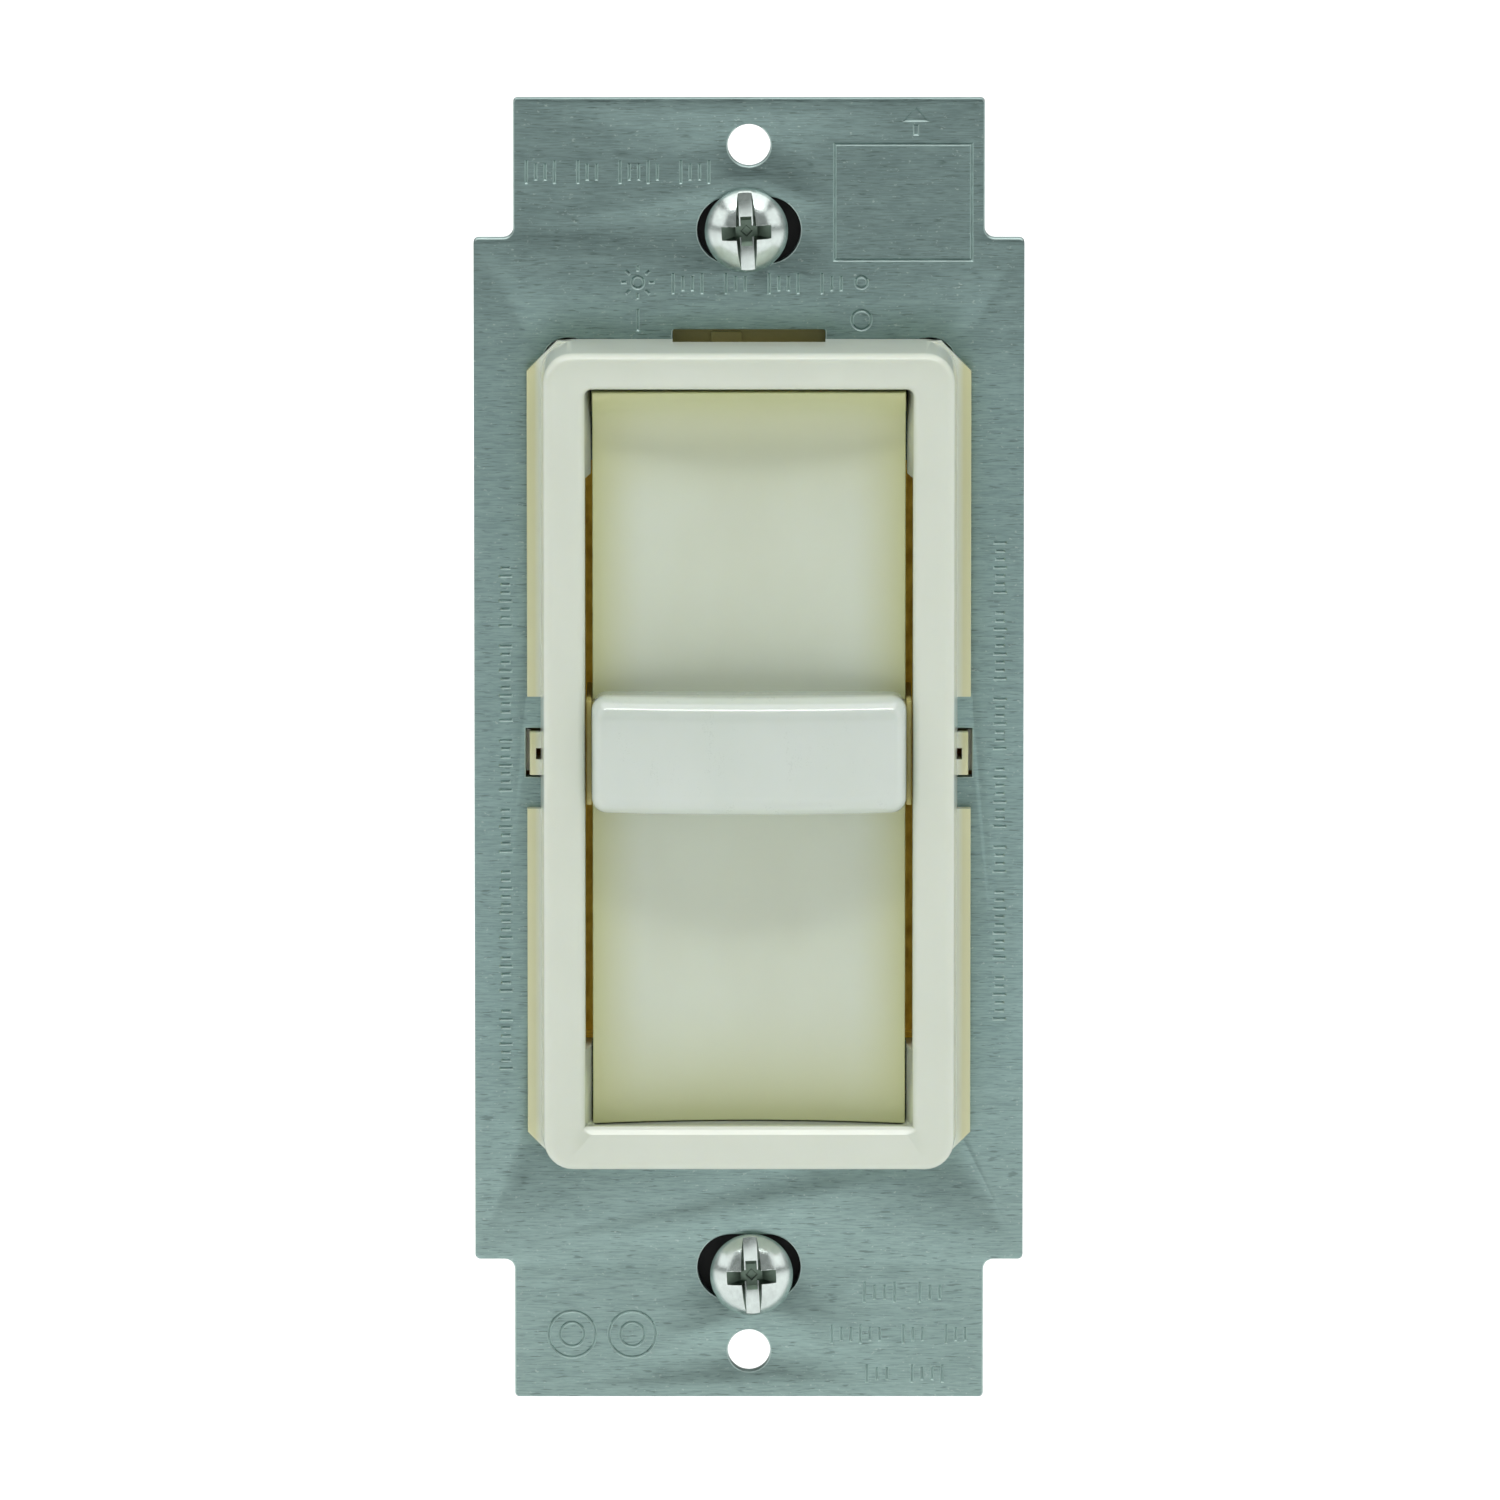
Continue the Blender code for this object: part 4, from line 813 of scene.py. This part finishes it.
def box_screw(node, body):
    """A domed head with a slot and a cross recess, a little askew, on a threaded shank."""
    low, high = span(node)
    x, z = middle(node)
    seat = STRAP_FRONT - 0.05
    radius = (high.x - low.x) / 2
    crown, lean = seat - HEAD_HEIGHT, -2.7
    profile = head_profile(radius, seat, HEAD_EDGE, HEAD_HEIGHT) + [(radius - 0.06, seat), (1.5, seat)]
    head = turned(f"{node}_head", profile, x, z, 72)
    cut(head, turned_about(slot_tool(x, z, crown, 0.82, 0.54, SLOT_DEPTH), x, z, lean))
    for angle in (0, 90):
        cut(head, turned_about(wing_tool(x, z, crown, 4.3, 1.1, 1.75), x, z, lean + angle))
    centre = rod("centre", 1.5, (x, crown - 0.2, z), (x, crown + 1.9, z), 4, 0.4)
    cut(head, turned_about(centre, x, z, lean))
    bevel(head, 0.04, 35)
    apply_modifiers(head)
    shade(head, 35)
    finish_piece(head, PLATED, body, node)
    # Painted shade: the faces below the dome, in the slot walls and the cross recess, take the darker copy.
    head.data.materials.append(RECESS_SHADE)
    for face in head.data.polygons:
        centre = face.center / MM
        from_axis = math.hypot(centre.x - x, centre.z - z)
        surface = crown + dome_depth(radius, HEAD_HEIGHT - HEAD_EDGE, min(from_axis, radius))
        below = surface + 0.1 < centre.y < seat - 0.02
        on_slot_floor = abs(centre.y - crown - SLOT_DEPTH) < 0.02
        if from_axis < radius - 0.1 and below and not on_slot_floor:
            face.material_index = 1
    shank = thread(f"{node}_shank", 1.72, 0.32, 0.794, seat - 0.02, high.y, x, z)
    finish_piece(shank, PLATED, body, node)


def retainer(node, screw):
    low, high = span(node)
    z = middle(node)[1]
    outline = rounded(high.x - low.x, high.z - low.z, 1.0, 0.0, z, 6)
    hole = circle(1.8, middle(screw)[0], z, 32)
    piece = plate(f"{node}_washer", [outline, hole], (low.y, high.y), 0.12)
    finish_piece(piece, FIBRE, "base", node)


def housing_screw(node):
    """A self-tapping screw with a cross slot, whose head faces the rear."""
    low, high = span(node)
    x, z = middle(node)
    height = 1.85
    seat = high.y - height
    profile = [(r, 2 * seat - y) for r, y in reversed(head_profile(2.2, seat, 0.7, height, 8))]
    head = turned(f"{node}_head", [(1.0, seat)] + profile, x, z, 40)
    crown = high.y
    for half_x, half_z in ((1.25, 0.27), (0.27, 1.25)):
        tool = box("cross", (x - half_x, x + half_x), (crown - 0.9, crown + 1.0), (z - half_z, z + half_z))
        cut(head, tool)
    shade(head, 35)
    shank = thread(f"{node}_shank", 1.32, 0.22, 1.05, low.y, seat + 0.02, x, z, 20, 6)
    for piece in (head, shank):
        finish_piece(piece, PLATED, "base", node)


# ---------------------------------------- bezel

BEZEL_FRONT = span("bezel_frame")[0].y
BEZEL_REAR = STRAP_FRONT - 0.05
BEZEL_SIZE = (33.1, 66.0)
FLANGE_HALF, FLANGE_CHAMFER = 17.6, 2.4
WINDOW = (25.95, 59.6)
PAD_WINDOW = (24.95, 59.15)
LEG_SLOT_Z = (-23.15, 22.7)


def bezel():
    """A ring with a rounded front, and a window that narrows to the pad and has a sloped sill."""
    loops = []

    def add(inset, radius, y, size=BEZEL_SIZE, lift=0.0):
        corner = max(radius - inset, 0.12)
        outline = rounded(size[0] - 2 * inset, size[1] - 2 * inset, corner, count=8)
        low = min(z for x, z in outline)
        loops.append([(x, y, z + lift * min(max(1 - (z - low) / corner, 0.0), 1.0)) for x, z in outline])

    outer_round, inner_round, draft, steps = 0.8, 0.6, 0.3, 6
    sill_depth, sill_slope, sill_rise = 0.39, 1.54, 0.6
    add(0.0, 2.6, BEZEL_REAR)
    for i in range(steps + 1):
        angle = math.pi / 2 * i / steps
        inset = draft + outer_round * (1 - math.cos(angle))
        add(inset, 2.6, BEZEL_FRONT + outer_round * (1 - math.sin(angle)))
    for i in range(steps + 1):
        angle = math.pi / 2 * i / steps
        inset, depth = -inner_round * (1 - math.sin(angle)), inner_round * (1 - math.cos(angle))
        lift = sill_rise - inset - sill_slope * max(sill_depth - depth, 0.0)
        add(inset, 0.55, BEZEL_FRONT + depth, WINDOW, lift)
    add(0.0, 0.5, -4.3, (PAD_WINDOW[0] + 0.06, PAD_WINDOW[1] + 0.06))
    add(0.0, 0.5, BEZEL_REAR, PAD_WINDOW)
    piece = loft("bezel_ring", loops, closed=True)
    half, top, chamfer = FLANGE_HALF, BEZEL_SIZE[1] / 2 - 0.05, FLANGE_CHAMFER
    side = [(half - chamfer, -top), (half, -top + chamfer), (half, top - chamfer), (half - chamfer, top)]
    outlines = [side + [(-x, -z) for x, z in side], rounded(WINDOW[0] + 0.6, WINDOW[1] + 0.6, 0.6)]
    flange = plate("flange", outlines, (BEZEL_REAR - 1.0, BEZEL_REAR - 0.01), 0.12)
    for sign in (1, -1):
        notch = sided(sign, BEZEL_SIZE[0] / 2 - 0.12, half + 1.0)
        cut(flange, box("notch", notch, (-4.0, 1.0), (-4.5, 4.5)))
    join(piece, flange)
    hook_z, barb_z, hole_z = [(HOOK_Z - half, HOOK_Z + half) for half in (1.72, 1.66, 0.45)]
    for sign in (1, -1):
        join(piece, box("hook", sided(sign, 15.9, 17.4), (-1.9, 1.1), hook_z, 0.08))
        join(piece, box("barb", sided(sign, 17.2, 18.03), (0.17, 1.03), barb_z))
        cut(piece, box("hook_hole", sided(sign, 16.3, 16.9), (-2.0, 1.5), hole_z))
        cut(piece, box("leg_slot", sided(sign, 11.0, 12.96), (-7.4, 0.5), LEG_SLOT_Z))
        cut(piece, box("pin_slot", sided(sign, 11.3, 13.5), (-3.2, 0.5), (27.25, 29.15)))
    for x, z in HOUSING_SCREWS:
        join(piece, rod("post", 1.9, (x, -2.2, z), (x, 1.0, z), 32))
        cut(piece, rod("pilot", 1.4, (x, -6.2, z), (x, 1.5, z), 24))
    cut(piece, box("selector_notch", (-6.05, 6.05), (-2.6, -1.0), (32.7, 34.0)))
    shade(piece, 32)
    finish_piece(piece, IVORY, "base", "bezel_frame")


# ---------------------------------------- pad

PAD_HALF_WIDTH, PAD_HALF_HEIGHT = 12.39, 29.49
PAD_FILLET = 0.1
PAD_EDGE_Y, PAD_TROUGH, PAD_THICK = -4.4, 1.6, 1.0
PAD_LIP_Y, PAD_CURVE = -6.9, 4.5
PIN_Y, PIN_Z = -2.25, 28.2


def edge_steps(half, fillet, inner_count):
    """Places across a width, closer together at the rounded borders."""
    near = [0.0, 0.06, 0.16, 0.3, 0.5, 0.75, 1.0]
    left = [-half + fillet * share for share in near]
    inner = [-(half - fillet) + 2 * (half - fillet) * i / inner_count for i in range(1, inner_count)]
    return left + inner + [-place for place in reversed(left)]


def border_drop(distance, fillet):
    """How far a surface falls away within a fillet of its border."""
    inside = max(0.0, fillet - distance)
    return fillet - math.sqrt(max(fillet * fillet - inside * inside, 0.0))


def pad_front(x, z):
    """The trough across the width, and the curve forward at the upper end."""
    y = PAD_EDGE_Y + PAD_TROUGH * (1 - (x / PAD_HALF_WIDTH) ** 2)
    rise = z - (PAD_HALF_HEIGHT - 0.1 - PAD_CURVE)
    if rise > 0:
        y -= PAD_CURVE - math.sqrt(max(PAD_CURVE**2 - rise**2, 0.0))
    y = max(y, PAD_LIP_Y)
    for distance in (PAD_HALF_WIDTH - abs(x), PAD_HALF_HEIGHT - abs(z)):
        y += border_drop(distance, PAD_FILLET)
    return y


def pad_back(x, z):
    return PAD_EDGE_Y + PAD_TROUGH * (1 - (x / PAD_HALF_WIDTH) ** 2) + PAD_THICK


def height_solid(name, xs, zs, front, back):
    """A solid between two surfaces y = f(x, z) over a rectangle."""
    bm = bmesh.new()
    sheets = []
    for surface in (front, back):
        sheets.append([[bm.verts.new((x, surface(x, z), z)) for x in xs] for z in zs])
    for sheet in sheets:
        for row, above in zip(sheet, sheet[1:]):
            for i in range(len(xs) - 1):
                bm.faces.new((row[i], row[i + 1], above[i + 1], above[i]))
    rim = []
    for sheet in sheets:
        right = [row[-1] for row in sheet]
        left = [row[0] for row in sheet]
        rim.append(sheet[0][:-1] + right[:-1] + list(reversed(sheet[-1]))[:-1] + list(reversed(left))[:-1])
    count = len(rim[0])
    for i in range(count):
        j = (i + 1) % count
        bm.faces.new((rim[0][i], rim[0][j], rim[1][j], rim[1][i]))
    return shade(from_bmesh(name, bm), 40)


def pad():
    xs = edge_steps(PAD_HALF_WIDTH, PAD_FILLET, 36)
    zs = edge_steps(PAD_HALF_HEIGHT, PAD_FILLET, 110)
    piece = height_solid("pad_cover", xs, zs, pad_front, pad_back)
    for sign in (1, -1):
        join(piece, box("lug", sided(sign, 11.3, 12.28), (-4.0, -1.45), (PIN_Z - 1.1, PIN_Z + 1.1)))
        join(piece, rod("pin", 0.85, (sign * 11.8, PIN_Y, PIN_Z), (sign * 13.3, PIN_Y, PIN_Z), 24))
    join(piece, box("post", (3.9, 6.1), (-2.6, 2.0), (-29.3, -27.1)))
    shade(piece, 40)
    finish_piece(piece, PAD_IVORY, "paddle", "push_paddle")


# ---------------------------------------- slider

KNOB_LOW, KNOB_HIGH = span("slider_knob")
REST_Z = middle("slider_knob")[1]
KNOB_HALF_WIDTH, KNOB_HALF_HEIGHT = 12.45, (KNOB_HIGH.z - KNOB_LOW.z) / 2
LEG_Z = 0.6


def knob():
    """The bar bulges forward in the middle of its width, with a broad rounded rim round its front."""
    front, rear, bulge, round_front, round_rear, steps = KNOB_LOW.y, -5.5, 1.2, 1.75, 0.3, 12
    side_share = 0.45
    loops = []

    def add(inset, y, share=1.0):
        outline = rounded(
            2 * (KNOB_HALF_WIDTH - share * inset), 2 * (KNOB_HALF_HEIGHT - inset),
            max(1.2 - share * inset, 0.25), 0.0, REST_Z, 7,
        )
        loops.append([(x, y, z) for x, z in outline])

    for i in range(steps + 1):
        angle = math.pi / 2 * i / steps
        add(round_front * (1 - math.sin(angle)), front + round_front * (1 - math.cos(angle)), side_share)
    add(0.0, rear - round_rear)
    add(0.3 * round_rear, rear - 0.3 * round_rear)
    add(round_rear, rear)
    piece = loft("slider_bar", loops)
    bm = bmesh.new()
    bm.from_mesh(piece.data)
    slices = 30
    for i in range(1, slices):
        x = (-1 + 2 * i / slices) * KNOB_HALF_WIDTH * MM
        geometry = bm.verts[:] + bm.edges[:] + bm.faces[:]
        bmesh.ops.bisect_plane(bm, geom=geometry, plane_co=(x, 0, 0), plane_no=(1, 0, 0))
    for vertex in bm.verts:
        share = min(1.0, (rear - vertex.co.y / MM) / (rear - front - round_front))
        vertex.co.y += bulge * MM * share * (vertex.co.x / MM / KNOB_HALF_WIDTH) ** 2
    bm.to_mesh(piece.data)
    bm.free()
    shade(piece, 35)
    finish_piece(piece, SLIDER_IVORY, "slider", "slider_knob")
    leg_z, inner_z = (LEG_Z - 4.15, LEG_Z + 4.15), (LEG_Z - 3.75, LEG_Z + 3.75)
    legs = []
    for sign in (1, -1):
        leg = box("leg", sided(sign, 12.45, 12.87), (-6.4, 3.8), leg_z, 0.1)
        join(leg, box("shoulder", sided(sign, 11.5, 12.8), (-6.3, -5.52), inner_z))
        join(leg, box("hook", sided(sign, 11.75, 12.7), (3.1, 3.75), inner_z))
        legs.append(leg)
    legs = shade(merge("slider_legs", legs), 35)
    # The legs take the painted shade copy of the ivory.
    finish_piece(legs, SHADE_PAINTED_IVORY, "slider", "slider_knob")


# ---------------------------------------- housing


def housing():
    """The rear shell with its screw bosses, lead holes, grip ribs and blank label."""
    low, high = span("back_housing")
    rear, width, height = high.y, 2 * high.x, 2 * high.z
    loops = []

    def add(inset, y, radius):
        outline = rounded(width - 2 * inset, height - 2 * inset, radius, count=8)
        loops.append([(x, y, z) for x, z in outline])

    draft, edge, steps = 0.55, 1.0, 5
    for i in range(steps + 1):
        angle = math.pi / 2 * i / steps
        add(draft + edge * (1 - math.sin(angle)), rear - edge * (1 - math.cos(angle)), 2.0)
    add(0.35, low.y + 3.0, 2.0)
    add(0.05, low.y + 2.7, 2.0)
    add(0.0, low.y + 0.15, 2.0)
    add(0.15, low.y, 1.9)
    add(1.5, low.y, 0.8)
    add(1.5, rear - 1.5, 0.8)
    piece = loft("housing_shell", loops)
    for x, z in HOUSING_SCREWS:
        join(piece, rod("boss", 3.5, (x, 1.1, z), (x, rear - 1.0, z), 40))
        cut(piece, rod("screw_hole", 1.6, (x, 0.0, z), (x, 6.0, z), 24))
        cut(piece, rod("counterbore", 2.4, (x, 4.0, z), (x, rear + 1.0, z), 36))
    for x in (-9.0, -3.0, 3.0, 9.0):
        cut(piece, rod("lead_hole", 1.6, (x, rear - 3.0, 24.5), (x, rear + 1.0, 24.5), 28))
    cut(piece, box("label_recess", (-13.0, 13.0), (rear - 0.3, rear + 1.0), (-22.0, 14.0)))
    for side in (1, -1):
        for z in range(-28, 29, 8):
            rib_x = sided(side, high.x - 0.9, high.x - 0.12)
            join(piece, box("rib", rib_x, (4.5, 25.5), (z - 0.6, z + 0.6), 0.2))
    shade(piece, 30)
    finish_piece(piece, HOUSING_BLACK, "base", "back_housing")
    label = plate("blank_label", [rounded(24.6, 34.6, 1.0, 0.0, -4.0, 6)], (rear - 0.27, rear - 0.12), 0.03)
    finish_piece(label, LABEL, "base")


# ---------------------------------------- pieces inside


def soften(node, material, width):
    """Keeps a CAD node, rounds its sharp edges and gives it a material."""
    obj = NODES[node]
    weld = obj.modifiers.new("weld", "WELD")
    weld.merge_threshold = NODE_WELD
    if width:
        bevel(obj, width, 40)
        obj.modifiers["bevel"].use_clamp_overlap = True
    obj.data.materials.clear()
    obj.data.materials.append(material)


def squared(value):
    """A sine or cosine for a winding's section that is nearly square."""
    return math.copysign(abs(value) ** 0.45, value)


def choke_winding():
    """One wire wound round most of the ring core."""
    low, high = span("choke_core")
    centre = (low + high) / 2
    core_inner, core_outer = 5.0, (high.x - low.x) / 2
    wire, turns, steps = 0.4, 29, 20
    clear = wire + 0.05
    radial, axial = (core_outer - core_inner) / 2 + clear, (high.y - low.y) / 2 + clear
    points = []
    for i in range(turns * steps + 1):
        share = i / (turns * steps)
        round_core = math.radians(104 + 332 * share)
        angle = 2 * math.pi * i / steps
        reach = (core_inner + core_outer) / 2 + squared(math.cos(angle)) * radial
        y = centre.y + squared(math.sin(angle)) * axial
        points.append((centre.x + reach * math.cos(round_core), y, centre.z + reach * math.sin(round_core)))
    piece = tube("winding_turns", points, wire, 2)
    finish_piece(piece, ENAMEL, "base", "choke_winding")


def coil_spring():
    """The push switch's spring, which shortens as the plunger travels; here it is built at one length, on a
    mesh of its own.
    """
    low, high = span("switch_spring")
    x, z = middle("switch_spring")
    wire, turns, steps = 0.16, 4, 20
    radius = (high.x - low.x) / 2 - wire
    points = []
    for i in range(turns * steps + 1):
        angle = 2 * math.pi * i / steps
        y = low.y + wire + (high.y - low.y - 2 * wire) * i / (turns * steps)
        points.append((x + radius * math.cos(angle), y, z + radius * math.sin(angle)))
    piece = tube("spring_coil", points, wire, 3)
    finish_piece(piece, PLATED, "base", "switch_spring")
    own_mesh(piece)


BAND_PLACES, BAND_HALF = (-0.34, -0.06, 0.22, 0.34), 0.08


def axial_part(node, body_material, banded):
    """A small part with a waisted body, colour bands if asked, and leads bent down to the board."""
    low, high = span(node)
    x, z = middle(node)
    radius = (high.z - low.z) / 2
    y = high.y - radius
    half, sides = (high.x - low.x) / 2 - 1.8, 28
    shape = ((0.3, -1.0), (0.72, -0.97), (0.95, -0.9), (1.0, -0.78), (0.97, -0.66), (0.88, -0.55))
    profile = [(r * radius, t * half) for r, t in shape]
    profile += [(0.88 * radius, t * half) for t in (-0.4, -0.28, -0.12, 0.0, 0.16, 0.28, 0.4)]
    profile += [(r * radius, -t * half) for r, t in reversed(shape)]
    loops = []
    angles = [2 * math.pi * i / sides for i in range(sides)]
    for r, along in profile:
        loops.append([(x + along, y + r * math.cos(angle), z + r * math.sin(angle)) for angle in angles])
    body = loft(f"{node}_body", loops)
    finish_piece(body, body_material, "base", node)
    if banded:
        for material in BANDS:
            body.data.materials.append(material)
        for face in body.data.polygons:
            share = (face.center.x / MM - x) / half
            for number, place in enumerate(BAND_PLACES, 1):
                if abs(share - place) < BAND_HALF:
                    face.material_index = number
    bend = x - half - 1.2
    path = [(bend - 0.35, low.y, z), (bend - 0.35, y - 0.5, z)]
    path += [(bend - 0.2, y - 0.12, z), (bend + 0.15, y, z)]
    path += [(2 * x - px, py, pz) for px, py, pz in reversed(path)]
    lead = tube(f"{node}_lead", path, 0.28, 3)
    finish_piece(lead, TINNED, "base", node)


def board_details():
    """Traces and solder on the board's rear, as thin raised metal."""
    face = span("circuit_board")[1].y
    strips = [
        ((-2.9, -2.1), (14.0, 22.4)), ((2.1, 2.9), (18.5, 22.4)), ((-9.0, -2.1), (19.2, 20.2)),
        ((2.1, 13.0), (19.4, 20.4)), ((12.2, 13.0), (6.0, 20.0)), ((-1.4, -0.5), (-26.4, -22.2)),
        ((-16.0, -0.6), (-29.6, -28.8)), ((-16.4, -15.6), (-29.6, 12.0)), ((0.6, 8.2), (-32.4, -31.6)),
        ((7.6, 8.4), (-32.0, -24.5)), ((8.4, 16.4), (-23.6, -22.8)), ((15.6, 16.4), (-23.4, 4.4)),
    ]
    traces = [box("trace", x, (face + 0.005, face + 0.06), z) for x, z in strips]
    finish_piece(merge("board_traces", traces), COPPER, "base")
    cone = ((1.15, 0.01), (0.95, 0.2), (0.6, 0.5), (0.42, 0.9), (0.2, 1.1))
    profile = [(radius, face + rise) for radius, rise in cone]
    joints = []
    for x, z in ((-2.5, 22.0), (2.5, 22.0), (0.0, -22.0), (-0.95, -31.74), (-0.95, -29.2), (-0.95, -26.66)):
        joints.append(turned("solder", profile, x, z, 20))
    finish_piece(shade(merge("solder_joints", joints), 40), TINNED, "base")


def lamp_electrodes():
    low, high = span("locator_lamp")
    z = middle("locator_lamp")[1]
    for side in (1, -1):
        x = side * 0.8
        electrode = rod(f"lamp_electrode_{side + 2}", 0.3, (x, low.y + 2.0, z), (x, high.y - 0.3, z), 16)
        finish_piece(electrode, SHEET_STEEL, "base")


def inner_pieces():
    choke_winding()
    coil_spring()
    axial_part("gate_resistor", LACQUER, True)
    axial_part("lamp_resistor", LACQUER, True)
    axial_part("diac", DIAC_BLUE, False)
    board_details()
    lamp_electrodes()
    plain_nodes = [
        # Painted shade: the ivory pieces deep inside take the darker, yellower copy of the ivory.
        (("slider_carriage", "selector_plate"), SHADE_PAINTED_IVORY, 0.12),
        (("switch_plunger",), SHADE_PAINTED_IVORY, 0.1),
        (("brake_spring", "switch_bridge", "selector_wiper"), BRONZE, 0.03),
        (("pot_case",), SHEET_STEEL, 0.12),
        (("pot_lever", "pot_pin_1", "pot_pin_2", "pot_pin_3"), PLATED, 0.05),
        (("triac_tab", "triac_rivet", "triac_lead_1", "triac_lead_2", "triac_lead_3"), TINNED, 0.06),
        (("switch_terminal_1", "switch_terminal_2"), TINNED, 0.06),
        (("pot_wiper", "switch_body", "selector_switch_body", "lamp_holder", "triac_body"), BLACK, 0.12),
        (("pot_base", "circuit_board"), LAMINATE, 0.06),
        (("insulator_pad",), BEIGE, 0.02),
        (("slot_guard_left", "slot_guard_right"), GUARD, 0.05),
        (("choke_core",), FERRITE, 0.5),
        (("film_capacitor_1", "film_capacitor_2"), FILM_RED, 0.0),
        (("locator_lamp",), LAMP_GLASS, 0.0),
    ]
    for names, material, width in plain_nodes:
        for node in names:
            soften(node, material, width)


# ---------------------------------------- studio


def aimed(obj, place, target):
    """Puts a light or the camera in its place, looking at a target."""
    obj.location = place
    obj.rotation_euler = (Vector(target) - Vector(place)).to_track_quat("-Z", "Y").to_euler()


def area_light(name, place, size, power, target=(0.0, 0.0, 0.0)):
    light = bpy.data.lights.new(name, "AREA")
    light.shape = "RECTANGLE"
    light.size, light.size_y = size
    light.energy = power
    aimed(new_object(name, light), place, target)


def studio():
    """A pale floor, a dim world, and soft lights above, at both sides and over the floor behind."""
    bm = bmesh.new()
    bmesh.ops.create_grid(bm, x_segments=1, y_segments=1, size=6.0)
    mesh = bpy.data.meshes.new("floor")
    bm.to_mesh(mesh)
    bm.free()
    floor = new_object("floor", mesh)
    floor.location.z = CAD_BOUNDS[0][2] - 0.03
    look = Look("floor_paint", (0.95, 0.95, 0.95, 1.0), 0.8)
    look.bump(look.noise(2.0), 0.01, 0.2)
    mesh.materials.append(look.material)
    world = bpy.data.worlds.new("studio")
    bpy.context.scene.world = world
    world.use_nodes = True
    background = world.node_tree.nodes["Background"]
    background.inputs["Color"].default_value = (0.96, 1.0, 0.985, 1.0)
    background.inputs["Strength"].default_value = 0.3
    area_light("top_light", (0.0, -0.25, 1.15), (2.0, 1.1), 9.0)
    area_light("strip_light", (0.0, -0.55, 0.85), (1.2, 0.12), 2.4)
    for side in (1, -1):
        area_light(f"side_light_{side + 2}", (side * 1.03, -0.42, 0.45), (0.7, 0.7), 1.5)
    area_light("floor_light", (0.0, 1.3, 1.2), (2.4, 1.6), 30.0, (0.0, 1.3, 0.0))
    bpy.context.scene.view_settings.view_transform = "Standard"


def camera():
    """A long lens, a little above the strap's middle."""
    data = bpy.data.cameras.new("camera")
    data.lens = 514.0
    data.sensor_width = 36.0
    data.clip_end = 30.0
    obj = new_object("camera", data)
    distance, elevation = 1.7, math.radians(9.0)
    aim = Vector((0.00008, STRAP_FRONT * MM, 0.000056))
    aimed(obj, aim + Vector((0.0, -math.cos(elevation), math.sin(elevation))) * distance, aim)
    bpy.context.scene.camera = obj


strap()
box_screw("box_screw_top", "upper_box_screw")
box_screw("box_screw_bottom", "lower_box_screw")
for number in (1, 2, 3):
    housing_screw(f"housing_screw_{number}")
for end_name in ("top", "bottom"):
    retainer(f"screw_retainer_{end_name}", f"box_screw_{end_name}")
bezel()
pad()
knob()
housing()
inner_pieces()
studio()
camera()
